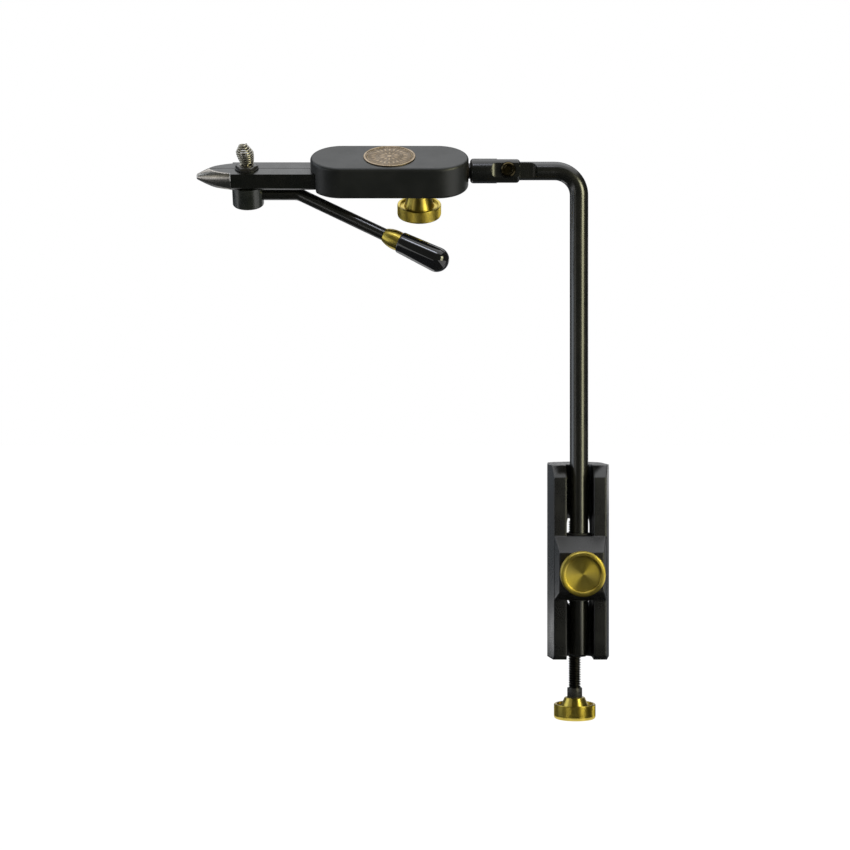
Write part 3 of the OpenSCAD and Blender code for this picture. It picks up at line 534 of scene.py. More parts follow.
def modified(thing):
    """The thing as its modifiers make it."""
    return thing.evaluated_get(bpy.context.evaluated_depsgraph_get())


def grown(name, mesh, tree, values):
    """The plain mesh that a tree makes of a mesh. Its inputs are set by their identifiers."""
    seed = put(name, mesh)
    maker = seed.modifiers.new("maker", "NODES")
    maker.node_group = tree
    identifiers = {socket.name: socket.identifier for socket in tree.interface.items_tree}
    for label, value in values.items():
        maker[identifiers[label]] = value
    made = bpy.data.meshes.new_from_object(modified(seed))
    bpy.data.objects.remove(seed)
    return made


# %% [markdown]
# The fine ridges of a coin edge and the petals of a rosette repeat round an axis. The first tree
# takes the drawn piece, makes as many points as are wanted, and stands one copy on each, turned by
# its share of the circle. An Array modifier would need a second object to turn about.

# %% Copies round an axis
copies_tree, given = new_tree("copies_round_axis", [("Count", "NodeSocketInt", 12)])
points = add(copies_tree, "GeometryNodeMeshLine", {"Offset": (0, 0, 0)})
join(copies_tree, given, "Count", points, "Count")
step = add(copies_tree, "ShaderNodeMath", {0: math.tau}, operation="DIVIDE")
join(copies_tree, given, "Count", step, 1)
angle = add(copies_tree, "ShaderNodeMath", operation="MULTIPLY")
join(copies_tree, add(copies_tree, "GeometryNodeInputIndex"), 0, angle, 0)
join(copies_tree, step, 0, angle, 1)
spin = add(copies_tree, "ShaderNodeCombineXYZ")
join(copies_tree, angle, 0, spin, "Z")
stand = add(copies_tree, "GeometryNodeInstanceOnPoints")
join(copies_tree, points, 0, stand, "Points")
join(copies_tree, given, "Geometry", stand, "Instance")
join(copies_tree, spin, 0, stand, "Rotation")
end_tree(copies_tree, given, stand)


def copies(name, build, count, material):
    """Copies of a drawn piece round the Z axis, as one plain mesh."""
    mesh = bpy.data.meshes.new(name)
    bmesh.ops.recalc_face_normals(build, faces=build.faces)
    build.to_mesh(mesh)
    build.free()
    return grown(name, mesh, copies_tree, {"Count": count, "Material": material})


def take_in(piece, *extra):
    """Adds plain meshes to a piece, so that what is one part in metal is one mesh."""
    build = bmesh.new()
    build.from_mesh(piece.data)
    for mesh in extra:
        build.from_mesh(mesh)
    build.to_mesh(piece.data)
    build.free()
    piece.data.set_sharp_from_angle(angle=SMOOTH_ANGLE)


# %% [markdown]
# The three thumb knobs are turned from brass bar: a flange with a dished face, a step behind its
# rim and a conical hub. The flange has a coin edge. A bump would be missing from the outline, so
# the rim is turned a little smaller and carries fine ridges that bring it back to size.

# %% Knob
BRASS = ((0.66, 0.52, 0.11), (0.58, 0.45, 0.08))
DISH_SHARE, RIM_SHARE = 0.8, 0.87
DISH_DEPTH, RIM_DEPTH = 1.5 * MM, 1.2 * MM
RIM_EASE, INNER_EASE, FINE_EASE = 1.0 * MM, 0.45 * MM, 0.25 * MM
RIDGE_OUT, RIDGE_SHARE = 0.11 * MM, 0.8
RIDGE_PITCH = 0.62 * MM


def coin_ridge(foot, top, half, low, high):
    """A ridge with three corners, from its foot's radius to its top's, whose ends lean in."""
    build = bmesh.new()
    ends = [[build.verts.new(p) for p in ((foot, -half, z), (foot, half, z), (top, 0, z + lean))]
            for z, lean in ((low, RIDGE_OUT), (high, -RIDGE_OUT))]
    for end in ends:
        build.faces.new(end)
    for a in range(3):
        b = (a + 1) % 3
        build.faces.new((ends[0][a], ends[0][b], ends[1][b], ends[1][a]))
    return build


def knob(name, node, place, thick, hub_top, hub_base):
    """A turned brass knob. Its dished face is at the place's origin and its hub points up."""
    _, high = box_in(node, place)
    brass = finish(name + "_brass", BRASS, 0.38, metallic=1.0, rough_share=0.15, cloud=9 * MM,
                   grain=0.14 * MM, depth=0.003 * MM, place=place, turned=True, brushed=0.8)
    outer, top = high.x - RIDGE_OUT, high.z
    dish, rim = high.x * DISH_SHARE, high.x * RIM_SHARE
    outline = eased([
        (0, DISH_DEPTH), (dish, DISH_DEPTH, INNER_EASE), (dish, 0, INNER_EASE),
        (outer, 0, RIM_EASE), (outer, thick, FINE_EASE), (rim, thick, FINE_EASE),
        (rim, thick - RIM_DEPTH, FINE_EASE), (hub_base, thick - RIM_DEPTH, INNER_EASE),
        (hub_top, top, FINE_EASE), (0, top)])
    piece = new_piece(name, turned_build(outline, Matrix()), brass)
    count = round(math.tau * high.x / RIDGE_PITCH)
    half = math.pi * high.x / count * RIDGE_SHARE
    ridge = coin_ridge(outer - RIDGE_OUT, high.x, half, RIM_EASE, thick - FINE_EASE)
    take_in(piece, copies(name + "_ridges", ridge, count, brass))
    piece.data.transform(place)
    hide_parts(node)
    print(name, "of", round(2 * high.x / MM, 2), "mm, with", count, "ridges")
    return piece


print("a coin edge has a ridge every", round(RIDGE_PITCH / MM, 2), "mm")

# %% [markdown]
# The knob under the head and the one on the front of the boss are alike. The clamp's knob is
# thicker and has a slimmer hub. Each stands on the axis of its CAD node.

# %% Three thumb knobs
HUB_TOP_SHARE, HUB_BASE_SHARE = 0.42, 0.68
KNOB_THICK, CLAMP_KNOB_THICK = 6.5 * MM, 7.7 * MM
CLAMP_HUB_TOP, CLAMP_HUB_BASE = 10.7 * MM, 14.8 * MM

knob_low, knob_high = box_in("head_knob", head_place)
knob_r = (knob_high.x - knob_low.x) / 2
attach(knob("head_thumb_knob", "head_knob", on_axis("head_knob", head_place), KNOB_THICK,
             knob_r * HUB_TOP_SHARE, knob_r * HUB_BASE_SHARE), "head_knob")
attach(knob("stem_thumb_knob", "stem_knob", on_axis("stem_knob", turn(-90, "X")), KNOB_THICK,
             knob_r * HUB_TOP_SHARE, knob_r * HUB_BASE_SHARE), "stem_knob")
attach(knob("clamp_thumb_knob", "clamp_knob", on_axis("clamp_knob", Matrix()), CLAMP_KNOB_THICK,
             CLAMP_HUB_TOP / 2, CLAMP_HUB_BASE / 2), "clamp_screw")

# %% [markdown]
# The medallion lies in a shallow seat on top of the head. It is a bronze-coloured disc with a
# raised rim and a plain rosette: two rings of leaves inside a ring of beads. Shade is painted into
# the hollows of the relief: its colour darkens from the tops down to the floor.

# %% Medallion's place and finish
MEDAL_SINK = 0.25 * MM
# Share of the bronze's colour left at the floor of the relief, by painted shade.
HOLLOW_LIGHT = 0.45

medal_place = on_axis("medallion", head_place)
_, medal_high = box_in("medallion", medal_place)
medal_floor = medal_high.z - MEDAL_SINK
# The bronze carries painted shade, which darkens it towards the floor of the relief.
bronze = finish("tan_bronze", ((0.42, 0.33, 0.235), (0.33, 0.255, 0.17)), 0.42, metallic=1.0,
                cloud=4 * MM, grain=0.18 * MM, depth=0.006 * MM, place=medal_place,
                painted_hollow_shade=(medal_floor, medal_high.z, HOLLOW_LIGHT))
print("medallion is", round(medal_high.z / MM, 2), "mm thick")

# %% [markdown]
# One leaf and one bead are drawn, and the first tree repeats them. A leaf swells from one tip to
# its middle and tapers to the other, and its edge lies a little under the disc's face. Displacement
# could raise the relief, but it needs far more faces for edges as crisp.

# %% Leaf and bead
LEAF_ROWS, LEAF_ACROSS, LEAF_SINK = 10, (-1, -0.55, 0, 0.55, 1), 0.03 * MM
LEAF_TAPER, LEAF_CROWN = 0.7, 0.5
BEAD_AT, BEAD_R, BEAD_SIDES = 11.5 * MM, 0.4 * MM, 8
BEAD_STEPS = (0, math.pi / 6, math.pi / 3)


def leaf(inner, outer, half):
    """A closed leaf between two radii, as wide at its middle as twice the half."""
    build = bmesh.new()
    rows = []
    for i in range(LEAF_ROWS + 1):
        inside = 0 < i < LEAF_ROWS
        swell = math.sin(math.pi * i / LEAF_ROWS) if inside else 0
        crown = (MEDAL_SINK + LEAF_SINK) * swell ** LEAF_CROWN
        rows.append([build.verts.new((
            inner + (outer - inner) * i / LEAF_ROWS, v * half * swell ** LEAF_TAPER,
            medal_floor - LEAF_SINK + crown * (1 - v * v)))
            for v in (LEAF_ACROSS if inside else (0,))])
    skin(build, rows, len(LEAF_ACROSS) - 1)
    build.faces.new([r[0] for r in rows] + [r[-1] for r in rows[-2:0:-1]])
    return build


bead_outline = [(BEAD_R * math.cos(a), MEDAL_SINK * math.sin(a)) for a in BEAD_STEPS]
bead = turned_build([(0, -LEAF_SINK)] + bead_outline + [(0, MEDAL_SINK)],
                    shift(BEAD_AT, 0, medal_floor), BEAD_SIDES)
print("a bead has", len(bead.faces), "faces")

# %% [markdown]
# The disc is turned like the knobs, from one outline that holds its rim, its two rings and its
# boss. Each could be a ring of its own, but one closed outline leaves no seams between them. The
# copies are taken into its mesh, because the real relief is struck in one piece with the disc.

# %% Disc and relief
MEDAL_RIM, MEDAL_EASE = 1.0 * MM, 0.12 * MM
RING_AT, RING_HALF, RING_HIGH = (10.6 * MM, 6.1 * MM), 0.22 * MM, 0.16 * MM
BOSS_R, BOSS_TOP_SHARE, BOSS_EASE_SHARE = 1.5 * MM, 0.6, 0.4
OUTER_LEAF, INNER_LEAF = (6.6 * MM, 10.2 * MM, 0.78 * MM), (1.9 * MM, 5.7 * MM, 0.85 * MM)
OUTER_LEAVES, INNER_LEAVES, BEADS = 24, 12, 60

rings = [point for at in RING_AT for point in (
    (at + RING_HALF, medal_floor, 0), (at, medal_floor + RING_HIGH, RING_HALF / 2),
    (at - RING_HALF, medal_floor, 0))]
medal_outline = eased([
    (0, 0), (medal_high.x, 0, MEDAL_EASE), (medal_high.x, medal_high.z, MEDAL_EASE * 2),
    (medal_high.x - MEDAL_RIM, medal_high.z, MEDAL_EASE),
    (medal_high.x - MEDAL_RIM, medal_floor, MEDAL_EASE)] + rings + [
    (BOSS_R, medal_floor, MEDAL_EASE),
    (BOSS_R * BOSS_TOP_SHARE, medal_high.z, BOSS_R * BOSS_EASE_SHARE), (0, medal_high.z)])
medal = new_piece("rosette_medallion", turned_build(medal_outline, Matrix()), bronze)
take_in(medal, copies("outer_leaves", leaf(*OUTER_LEAF), OUTER_LEAVES, bronze),
        copies("inner_leaves", leaf(*INNER_LEAF), INNER_LEAVES, bronze),
        copies("beads", bead, BEADS, bronze))
medal.data.transform(medal_place)
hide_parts("medallion")
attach(medal, "head")
print("medallion of", round(2 * medal_high.x / MM, 1), "mm,", len(medal.data.polygons), "faces")

# %% [markdown]
# Springs are wire that follows a path. The path is worked out as a row of points, and a second tree
# sweeps a round wire along it, with both ends closed. The Screw modifier winds a coil too, but only
# one whose radius changes evenly.

# %% Wire along a path
def swept(tree, path, outline):
    """Sweeps an outline along a path, with both ends closed."""
    made = add(tree, "GeometryNodeCurveToMesh", {"Fill Caps": True})
    join(tree, path, 0, made, "Curve")
    join(tree, outline, 0, made, "Profile Curve")
    return made


wire_tree, given = new_tree("wire_along_path", [("Radius", "NodeSocketFloat", 0.3 * MM),
                                                ("Sides", "NodeSocketInt", 10)])
path = add(wire_tree, "GeometryNodeMeshToCurve")
join(wire_tree, given, "Geometry", path, "Mesh")
ring = add(wire_tree, "GeometryNodeCurvePrimitiveCircle")
join(wire_tree, given, "Sides", ring, "Resolution")
join(wire_tree, given, "Radius", ring, "Radius")
end_tree(wire_tree, given, swept(wire_tree, path, ring))


def wire(name, points, radius, sides, place, material):
    """A wire of that radius along the points, as a finished piece."""
    path = bpy.data.meshes.new(name)
    path.from_pydata(points, [(i, i + 1) for i in range(len(points) - 1)], [])
    mesh = grown(name, path, wire_tree, {"Radius": radius, "Sides": sides, "Material": material})
    build = bmesh.new()
    build.from_mesh(mesh)
    build.transform(place)
    piece = new_piece(name, build, material)
    print(name, "has", len(piece.data.polygons), "faces")
    return piece


# %% [markdown]
# The material spring holds thread and feathers between its turns. It is nickel-plated wire, wound
# as a loose barrel: its turns grow from the foot to the waist and shrink in a straight line to the
# top, and it leans a little towards the nose.

# %% Material spring
WIRE_D, LIFT_SHARE = 0.92 * MM, 0.75
COIL_TURNS, COIL_HIGH, WAIST_SHARE = 9, 11.2 * MM, 0.6
FOOT_R, WAIST_R, TOP_R = 2.95 * MM, 4.07 * MM, 1.6 * MM
COIL_SHIFT, COIL_LEAN = 0.3 * MM, 1.7 * MM
TURN_POINTS, WIRE_ROUND = 32, 12

coil_base = box_in("material_spring", cam_place)[0].z
coil_lift = LIFT_SHARE * WIRE_D


def coil_radius(share):
    """Radius of the material spring a share of the way up."""
    if share < WAIST_SHARE:
        return FOOT_R + (WAIST_R - FOOT_R) * math.sin(math.pi / 2 * share / WAIST_SHARE)
    return WAIST_R + (TOP_R - WAIST_R) * (share - WAIST_SHARE) / (1 - WAIST_SHARE)


def coil_point(share):
    """A point on the middle of the material spring's wire."""
    around = math.tau * COIL_TURNS * share
    return Vector((COIL_SHIFT - COIL_LEAN * share + coil_radius(share) * math.cos(around),
                   coil_radius(share) * math.sin(around),
                   coil_base + coil_lift + (COIL_HIGH - coil_lift - WIRE_D / 2) * share))


nickel = finish("nickel_wire", ((0.42, 0.395, 0.33), (0.33, 0.31, 0.255)), 0.3, metallic=1.0,
                cloud=3 * MM, grain=0.12 * MM, depth=0.002 * MM, place=cam_place)
coil = [Vector((FOOT_R + COIL_SHIFT, -WIRE_D, coil_base + z)) for z in (0, coil_lift / 2)]
coil_steps = TURN_POINTS * COIL_TURNS
coil += [coil_point(i / coil_steps) for i in range(coil_steps + 1)]
coil.append(coil[-1] + Vector((0, WIRE_D, 0)))
spring = wire("material_coil", coil, WIRE_D / 2, WIRE_ROUND, cam_place, nickel)
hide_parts("material_spring")
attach(spring, "lever")

# %% [markdown]
# Inside the head a small spring spreads the jaws' tails and so closes their tips. It is a plain
# coil of the same kind, and its size comes from the box of its CAD node.

# %% Jaws' spring
JAW_WIRE_D, JAW_TURNS = 0.6 * MM, 6

tail_low, tail_high = box_in("jaw_spring", head_place)
tail_place = head_place @ shift(*((tail_low + tail_high) / 2)) @ turn(90, "X")
tail_r = (tail_high.x - tail_low.x - JAW_WIRE_D) / 2
tail_half = (tail_high.y - tail_low.y - JAW_WIRE_D) / 2
jaw_coil = wire("jaw_coil", [
    (tail_r * math.cos(math.tau * t / TURN_POINTS), tail_r * math.sin(math.tau * t / TURN_POINTS),
     tail_half * (2 * t / (TURN_POINTS * JAW_TURNS) - 1))
    for t in range(TURN_POINTS * JAW_TURNS + 1)], JAW_WIRE_D / 2, WIRE_ROUND, tail_place, bright)
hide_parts("jaw_spring")
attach(jaw_coil, "head")

# %% [markdown]
# The clamp screw has a real thread: a ridge that climbs round a core by its pitch in each turn. A
# bump would give its shade but not its toothed outline. A third tree sweeps the ridge along a
# spiral, whose curve is told which way is up, so the ridge stays level all the way round.

# %% Thread
PITCH, CREST, FLANK = 1.27 * MM, 0.2 * MM, 0.6 * MM
THREAD_HIGH, THREAD_SINK = 0.68 * MM, 0.1 * MM
THREAD_STEPS = 28

thread_tree, given = new_tree("screw_thread", [("Core radius", "NodeSocketFloat", 2.5 * MM),
                                               ("Length", "NodeSocketFloat", 80 * MM),
                                               ("Pitch", "NodeSocketFloat", PITCH)])
turns = add(thread_tree, "ShaderNodeMath", operation="DIVIDE")
join(thread_tree, given, "Length", turns, 0)
join(thread_tree, given, "Pitch", turns, 1)
spiral = add(thread_tree, "GeometryNodeCurveSpiral", {"Resolution": THREAD_STEPS})
join(thread_tree, turns, 0, spiral, "Rotations")
join(thread_tree, given, "Core radius", spiral, "Start Radius")
join(thread_tree, given, "Core radius", spiral, "End Radius")
join(thread_tree, given, "Length", spiral, "Height")
level = add(thread_tree, "GeometryNodeSetCurveNormal", mode="Z_UP")
join(thread_tree, spiral, 0, level, 0)
outline = add(thread_tree, "GeometryNodeMeshToCurve")
join(thread_tree, given, "Geometry", outline, "Mesh")
end_tree(thread_tree, given, swept(thread_tree, level, outline))


def thread(core_radius, base, top, material):
    """The ridge of a thread round the Z axis, from one height to another."""
    ridge = bpy.data.meshes.new("ridge")
    # The spiral's sideways direction points at its axis, so outward is the outline's minus X
    ridge.from_pydata([(THREAD_SINK, FLANK, 0), (-THREAD_HIGH, CREST, 0),
                       (-THREAD_HIGH, -CREST, 0), (THREAD_SINK, -FLANK, 0)],
                      [(0, 1), (1, 2), (2, 3), (3, 0)], [])
    made = grown("thread", ridge, thread_tree, {"Core radius": core_radius, "Length": top - base,
                                                "Pitch": PITCH, "Material": material})
    made.transform(shift(0, 0, base))
    reach = [point.co.xy.length / MM for point in made.vertices]
    print("thread from", round(min(reach), 3), "to", round(max(reach), 3), "mm off its axis")
    return made


# %% [markdown]
# The rod under the thread is turned: a plain end for the knob, a core as deep as the thread, and a
# slim nose with a groove, on which a ring holds the pressure pad. The heights come from the pieces
# that sit on it.

# %% Clamp screw
NOSE_R, GROOVE_R, SCREW_SIDES = 2.3 * MM, 1.9 * MM, 48
FACE_GAP = 0.1 * MM
TIP_EASE, END_EASE, CORE_EASE = 0.2 * MM, 0.3 * MM, 0.1 * MM

screw_low, screw_high = box_in("clamp_screw", Matrix())
collar_low, collar_high = box_in("screw_collar", Matrix())
pad_low, _ = box_in("swivel_pad", Matrix())
clip_low, clip_high = box_in("pad_circlip", Matrix())
screw_r, shoulder = screw_high.x, pad_low.z - FACE_GAP
core_r = screw_r - THREAD_HIGH
thread_top, thread_base = shoulder - PITCH, collar_high.z + PITCH / 2
blackened = finish("blackened_screw", ((0.030, 0.029, 0.027), (0.045, 0.042, 0.036)), 0.34,
                   metallic=1.0, cloud=5 * MM, grain=0.15 * MM, depth=0.006 * MM)
screw_outline = eased([
    (0, screw_low.z), (screw_r, screw_low.z, END_EASE),
    (screw_r, thread_base - PITCH / 4, TIP_EASE), (core_r, thread_base, CORE_EASE),
    (core_r, thread_top, CORE_EASE), (core_r, shoulder, CORE_EASE), (NOSE_R, shoulder, 0),
    (NOSE_R, clip_low.z - FACE_GAP, 0), (GROOVE_R, clip_low.z - FACE_GAP, 0),
    (GROOVE_R, clip_high.z + FACE_GAP, 0), (NOSE_R, clip_high.z + FACE_GAP, 0),
    (NOSE_R, screw_high.z, TIP_EASE), (0, screw_high.z)])
screw = new_piece("clamp_screw_rod", turned_build(screw_outline, Matrix(), SCREW_SIDES), blackened)
take_in(screw, thread(core_r, thread_base, thread_top, blackened))
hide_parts("clamp_screw")
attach(screw, "clamp_screw")
print("screw with", round((thread_top - thread_base) / PITCH, 1), "turns of thread,",
      len(screw.data.polygons), "faces")

# %% [markdown]
# The collar is pinned on the screw above its knob. It is a short black ring with well rounded
# edges, turned like the knobs, whose outline closes on itself because the ring is hollow.

# %% Collar
COLLAR_EASE, COLLAR_SINK, COLLAR_SIDES = 0.7 * MM, 0.1 * MM, 64

collar_r, collar_bore = collar_high.x, screw_r + COLLAR_SINK
collar_build = turned_build(eased([
    (collar_bore, collar_low.z), (collar_r, collar_low.z, COLLAR_EASE),
    (collar_r, collar_high.z, COLLAR_EASE), (collar_bore, collar_high.z)])
    + [(collar_bore, collar_low.z)], Matrix(), COLLAR_SIDES)
black_steel = finish("black_collar", ((0.014, 0.014, 0.013), (0.022, 0.021, 0.018)), 0.28,
                     specular=0.9, cloud=4 * MM)
collar = new_piece("turned_collar", collar_build, black_steel)
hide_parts("screw_collar")
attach(collar, "clamp_screw")
print("collar of", round(2 * collar_r / MM, 1), "mm")

# %% [markdown]
# The lever's outer run is bent down towards the tyer, and has a place whose X axis follows the rod.
# On it sits a tapered brass ferrule, whose side is a shallow arc. The arc's centre is found from
# its radius and its two ends, as with a compass on a drawing.

# %% Ferrule
LEVER_DROP, SHANK, LEVER_ROLL, LEVER_ANGLE = 12.85 * MM, 26.3 * MM, -55, 28.6
ROD_R, FERRULE_R0 = 3.175 * MM, 3.45 * MM
FERRULE_ARC, FERRULE_RINGS = 15 * MM, 10

lever_place = (cam_place @ shift(0, 0, -LEVER_DROP) @ shift(SHANK, 0, 0) @ turn(LEVER_ROLL, "X")
               @ turn(LEVER_ANGLE, "Y"))
along = lever_place @ turn(90, "Y")
ferrule_low, ferrule_high = box_in("lever_ferrule", lever_place)
ferrule_r1 = ferrule_high.y
half_chord = math.dist((ferrule_low.x, FERRULE_R0), (ferrule_high.x, ferrule_r1)) / 2
slope = math.atan2(ferrule_r1 - FERRULE_R0, ferrule_high.x - ferrule_low.x)
bow = math.sqrt(FERRULE_ARC ** 2 - half_chord ** 2)
centre = Vector(((FERRULE_R0 + ferrule_r1) / 2 - bow * math.cos(slope),
                 (ferrule_low.x + ferrule_high.x) / 2 + bow * math.sin(slope)))
side = []
for i in range(FERRULE_RINGS + 1):
    x = ferrule_low.x + (ferrule_high.x - ferrule_low.x) * i / FERRULE_RINGS
    side.append((centre.x + math.sqrt(FERRULE_ARC ** 2 - (x - centre.y) ** 2), x))
ferrule_brass = finish("ferrule_brass", BRASS, 0.34, metallic=1.0, rough_share=0.15, cloud=6 * MM,
                       grain=0.14 * MM, depth=0.003 * MM, place=along, turned=True, brushed=0.8)
bore = ROD_R + COLLAR_SINK
ferrule_outline = [(bore, ferrule_low.x)] + side + [(bore, ferrule_high.x), (bore, ferrule_low.x)]
ferrule = new_piece("turned_ferrule", turned_build(ferrule_outline, along), ferrule_brass)
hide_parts("lever_ferrule")
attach(ferrule, "lever")
print("ferrule", [round(v / MM, 2) for v in (*ferrule_low, *ferrule_high)])

# %% [markdown]
# The grip is a slim cone that ends in a dome, with a bore for the rod. Its gloss is a clear coat,
# which stays sharp where the black under it is a little uneven.

# %% Grip
GRIP_R0, GRIP_EDGE, GRIP_BORE = 5.5 * MM, 0.9 * MM, 9.1 * MM
GRIP_STEPS, GRIP_COAT = 14, 0.6

grip_low, grip_high = box_in("lever_grip", lever_place)
grip_r = grip_high.y
dome_x = grip_high.x - grip_r
gloss = finish("gloss_grip", ((0.004, 0.004, 0.005), (0.006, 0.006, 0.007)), 0.07, rough_share=0.15,
               cloud=12 * MM, depth=0.001 * MM)
gloss.node_tree.nodes["Principled BSDF"].inputs["Coat Weight"].default_value = GRIP_COAT
bore_end = grip_low.x + GRIP_BORE
dome = [(grip_r * math.cos(math.pi / 2 * i / GRIP_STEPS),
         dome_x + grip_r * math.sin(math.pi / 2 * i / GRIP_STEPS)) for i in range(1, GRIP_STEPS)]
grip_outline = [(0, bore_end), (bore, bore_end)] + eased([
    (bore, grip_low.x), (GRIP_R0, grip_low.x, GRIP_EDGE), (grip_r, dome_x)]) + dome + [
    (0, grip_high.x)]
grip = new_piece("domed_grip", turned_build(grip_outline, along), gloss)
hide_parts("lever_grip")
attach(grip, "lever")
print("grip", [round(v / MM, 2) for v in (*grip_low, *grip_high)])

# %% [markdown]
# A casting, a pad or a milled bar has no sharp edges. To model it anew would repeat the CAD, so the
# piece is a copy of the CAD mesh. Its loose triangles are merged, flat faces are made whole again,
# and a Bevel modifier rounds the sharp edges. It only takes material away, so the size stays.
# Weighted normals keep large faces flat in shade.

# %% Softened copies
FLAT_ANGLE = math.radians(0.4)
BEVEL_ANGLE = math.radians(28)
BEVEL_STEPS = 3
ROOM = 1.05
COPY_MERGE = 2 * MICRON


def bevel_weights(build, width, share):
    """Gives each sharp edge its share of the bevel's width, where its neighbours leave room."""
    weight = build.edges.layers.float.new("bevel_weight_edge")
    for edge in build.edges:
        room = min(other.calc_length() for end in edge.verts for other in end.link_edges)
        if edge.calc_face_angle(0) > BEVEL_ANGLE and (room > ROOM * width or not share):
            middle = (edge.verts[0].co + edge.verts[1].co) / 2
            edge[weight] = share(middle) if share else 1


def softened(name, node, width, materials, body, share=None, chosen=None):
    """A copy of a CAD node with rounded edges.

    The share function gives an edge's share of the width by its middle, and the chosen function
    gives a face's material."""
    build = bmesh.new()
    build.from_mesh(frame["nodes"][node].data)
    bmesh.ops.remove_doubles(build, verts=build.verts, dist=COPY_MERGE)
    bmesh.ops.dissolve_limit(build, angle_limit=FLAT_ANGLE, verts=build.verts, edges=build.edges)
    bevel_weights(build, width, share)
    mesh = bpy.data.meshes.new(name)
    build.to_mesh(mesh)
    build.free()
    rough = put(name + "_rough", mesh)
    bevel = rough.modifiers.new("bevel", "BEVEL")
    bevel.width, bevel.segments, bevel.limit_method = width, BEVEL_STEPS, "WEIGHT"
    build = bmesh.new()
    build.from_mesh(modified(rough).to_mesh())
    piece = new_piece(name, build, materials[0])
    bpy.data.objects.remove(rough)
    weighted = piece.modifiers.new("flat_stays_flat", "WEIGHTED_NORMAL")
    weighted.keep_sharp = True
    flat = bpy.data.meshes.new_from_object(modified(piece))
    piece.modifiers.remove(weighted)
    piece.data = flat
    for extra in materials[1:]:
        piece.data.materials.append(extra)
    if chosen:
        for face in piece.data.polygons:
            face.material_index = chosen(face)
    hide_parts(node)
    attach(piece, body)
    print(name, "from", len(frame["nodes"][node].data.polygons), "to",
          len(piece.data.polygons), "faces")


print("a softened edge has", BEVEL_STEPS, "steps, where faces meet at over",
      round(math.degrees(BEVEL_ANGLE)), "degrees")

# %% [markdown]
# The clamp is a black casting. Its outer edges are round, and those inside its channel and bores
# were cut and stay crisp. Its finish eases the look of edges a little further than the bevel does.
# The pad and the neck are small black steel parts whose edges are only just broken.

# %% Clamp, pad and neck
CLAMP_EASE, PAD_EASE, NECK_EASE = 1.2 * MM, 0.4 * MM, 0.25 * MM
CHANNEL_HALF, FRONT_Y = 7.1 * MM, -37.5 * MM

casting = finish("black_casting", ((0.005, 0.005, 0.0055), (0.008, 0.008, 0.0085)), 0.30,
                 specular=0.75, cloud=14 * MM, grain=0.5 * MM, depth=0.008 * MM, ease=1.5 * MM)
neck_oxide = finish("neck_oxide", ((0.003, 0.004, 0.004), (0.006, 0.006, 0.005)), 0.26,
                    specular=0.7, cloud=9 * MM, grain=0.2 * MM, depth=0.001 * MM)


def clamp_share(middle):
    """All of the width on the clamp's outer edges, and none inside its channel and bores."""
    return 0 if abs(middle.x) < CHANNEL_HALF and middle.y > FRONT_Y else 1


softened("cast_clamp", "clamp_body", CLAMP_EASE, [casting], "clamp", clamp_share)
softened("pressure_pad", "swivel_pad", PAD_EASE, [black_steel], "swivel_pad")
softened("forked_neck", "neck", NECK_EASE, [neck_oxide], "neck")

# %% [markdown]
# The jaws are one black bar, split along its middle, whose end is turned down to a bright cone. So
# each half wears two finishes, chosen face by face. The bar's lower edges are rounder than the
# upper ones, and the slit stays crisp.

# %% Jaws
NOSE_LEN, NOSE_MARGIN, FACE_MARGIN = 18 * MM, 0.05 * MM, 0.02 * MM
LOWER_EASE, JAW_EASE, SLIT_HALF = 0.8 * MM, 0.12 * MM, 1 * MM
OUTER_V, LOWER_W = 6.4 * MM, -5 * MM

nose_base = box_in("front_jaw", head_place)[0].x + NOSE_LEN
bar_black = finish("bar_black", ((0.004, 0.005, 0.004), (0.007, 0.007, 0.006)), 0.26, specular=0.7,
                   cloud=9 * MM, grain=0.2 * MM, depth=0.003 * MM)
nose_steel = finish("turned_nose", ((0.56, 0.53, 0.49), (0.48, 0.455, 0.42)), 0.27, metallic=1.0,
                    cloud=4 * MM, grain=0.15 * MM, depth=0.010 * MM,
                    place=head_place @ turn(90, "Y"), turned=True, brushed=0.6)
to_head = head_place.inverted()


def jaw_share(middle):
    """All of the width on the bar's lower outer edges, a little on the others, none at the slit."""
    at = to_head @ middle
    if abs(at.y) < SLIT_HALF or at.x < nose_base + NOSE_MARGIN:
        return 0
    return 1 if abs(at.y) > OUTER_V and at.z < LOWER_W else JAW_EASE / LOWER_EASE


def nose_or_bar(face):
    """0 for a face of the black bar, and 1 for one of the turned nose."""
    return int((to_head @ face.center).x < nose_base - FACE_MARGIN)


for name, node in (("front_half", "front_jaw"), ("back_half", "back_jaw")):
    softened(name, node, LOWER_EASE, [bar_black, nose_steel], node, jaw_share,
             nose_or_bar)

# %% [markdown]
# All other CAD pieces keep their shape, and each gets a finish on its material slots. The head is
# bead-blasted to a satin black with a fine even grain. The rods have a polished black oxide with a
# brown cast, and the cam hub shows faint marks of the lathe along its side.

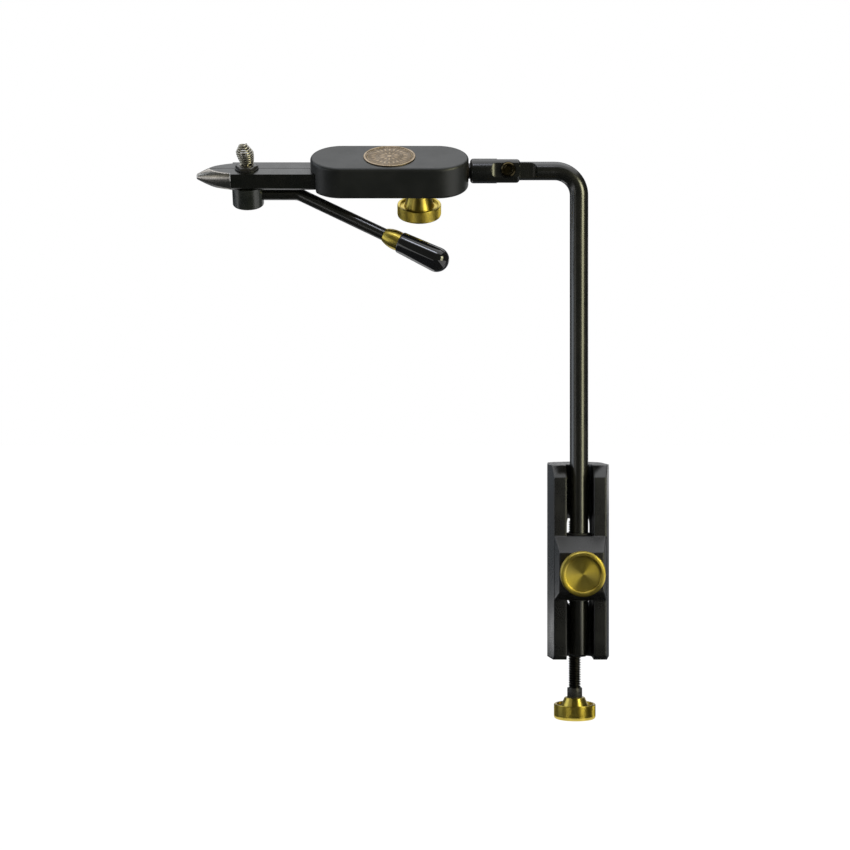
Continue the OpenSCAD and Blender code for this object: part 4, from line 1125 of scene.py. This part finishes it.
# %% Finishes of the other pieces
satin = finish("satin_head", ((0.007, 0.008, 0.008), (0.010, 0.011, 0.011)), 0.40, rough_share=0.12,
               cloud=10 * MM, grain=0.14 * MM, depth=0.010 * MM)
oxide = finish("black_oxide", ((0.003, 0.0035, 0.003), (0.006, 0.0055, 0.004)), 0.24, specular=1.0,
               rough_share=0.12, cloud=9 * MM, grain=0.2 * MM, depth=0.001 * MM)
hub = finish("turned_hub", ((0.008, 0.010, 0.008), (0.014, 0.016, 0.013)), 0.26, specular=0.9,
             cloud=6 * MM, grain=0.2 * MM, depth=0.006 * MM, place=cam_place, turned=True)
nut = finish("black_nut", ((0.020, 0.019, 0.017), (0.032, 0.029, 0.024)), 0.3, specular=1.0)
bolt = finish("bolt_black", ((0.085, 0.065, 0.028), (0.04, 0.034, 0.02)), 0.24, metallic=1.0,
              cloud=3 * MM)
washer = finish("dark_washer", ((0.05, 0.052, 0.055), (0.035, 0.037, 0.04)), 0.28, metallic=1.0)
flat_washer = finish("black_washer", ((0.010, 0.010, 0.010), (0.016, 0.016, 0.015)), 0.4)
inner_brass = finish("inner_brass", BRASS, 0.35, metallic=1.0)
bush = finish("black_acetal", ((0.010, 0.010, 0.010), (0.014, 0.014, 0.014)), 0.6)
bush_bronze = finish("bush_bronze", ((0.06, 0.05, 0.04), (0.04, 0.035, 0.03)), 0.45, metallic=1.0)

for material, nodes in (
    (satin, ("head_body", "head_cover")), (oxide, ("stem", "lever_rod")), (hub, ("cam_hub",)),
    (nut, ("jaw_nut", "pivot_nut")), (bolt, ("pivot_bolt",)), (washer, ("pivot_washers",)),
    (flat_washer, ("jaw_washer",)), (inner_brass, ("stem_slug", "head_slug")),
    (bush, ("stem_bush",)), (bush_bronze, ("neck_bush",)), (nickel, ("spring_seat",)),
    (bright, ("pad_circlip", "stem_knob_stud", "head_knob_stud", "spindle_ring", "cover_screws",
              "jaw_pins", "cam_shaft")),
):
    for node in nodes:
        for row in frame["nodes"][node].material_slots:
            row.material = material
    print(material.name, "on", ", ".join(nodes))
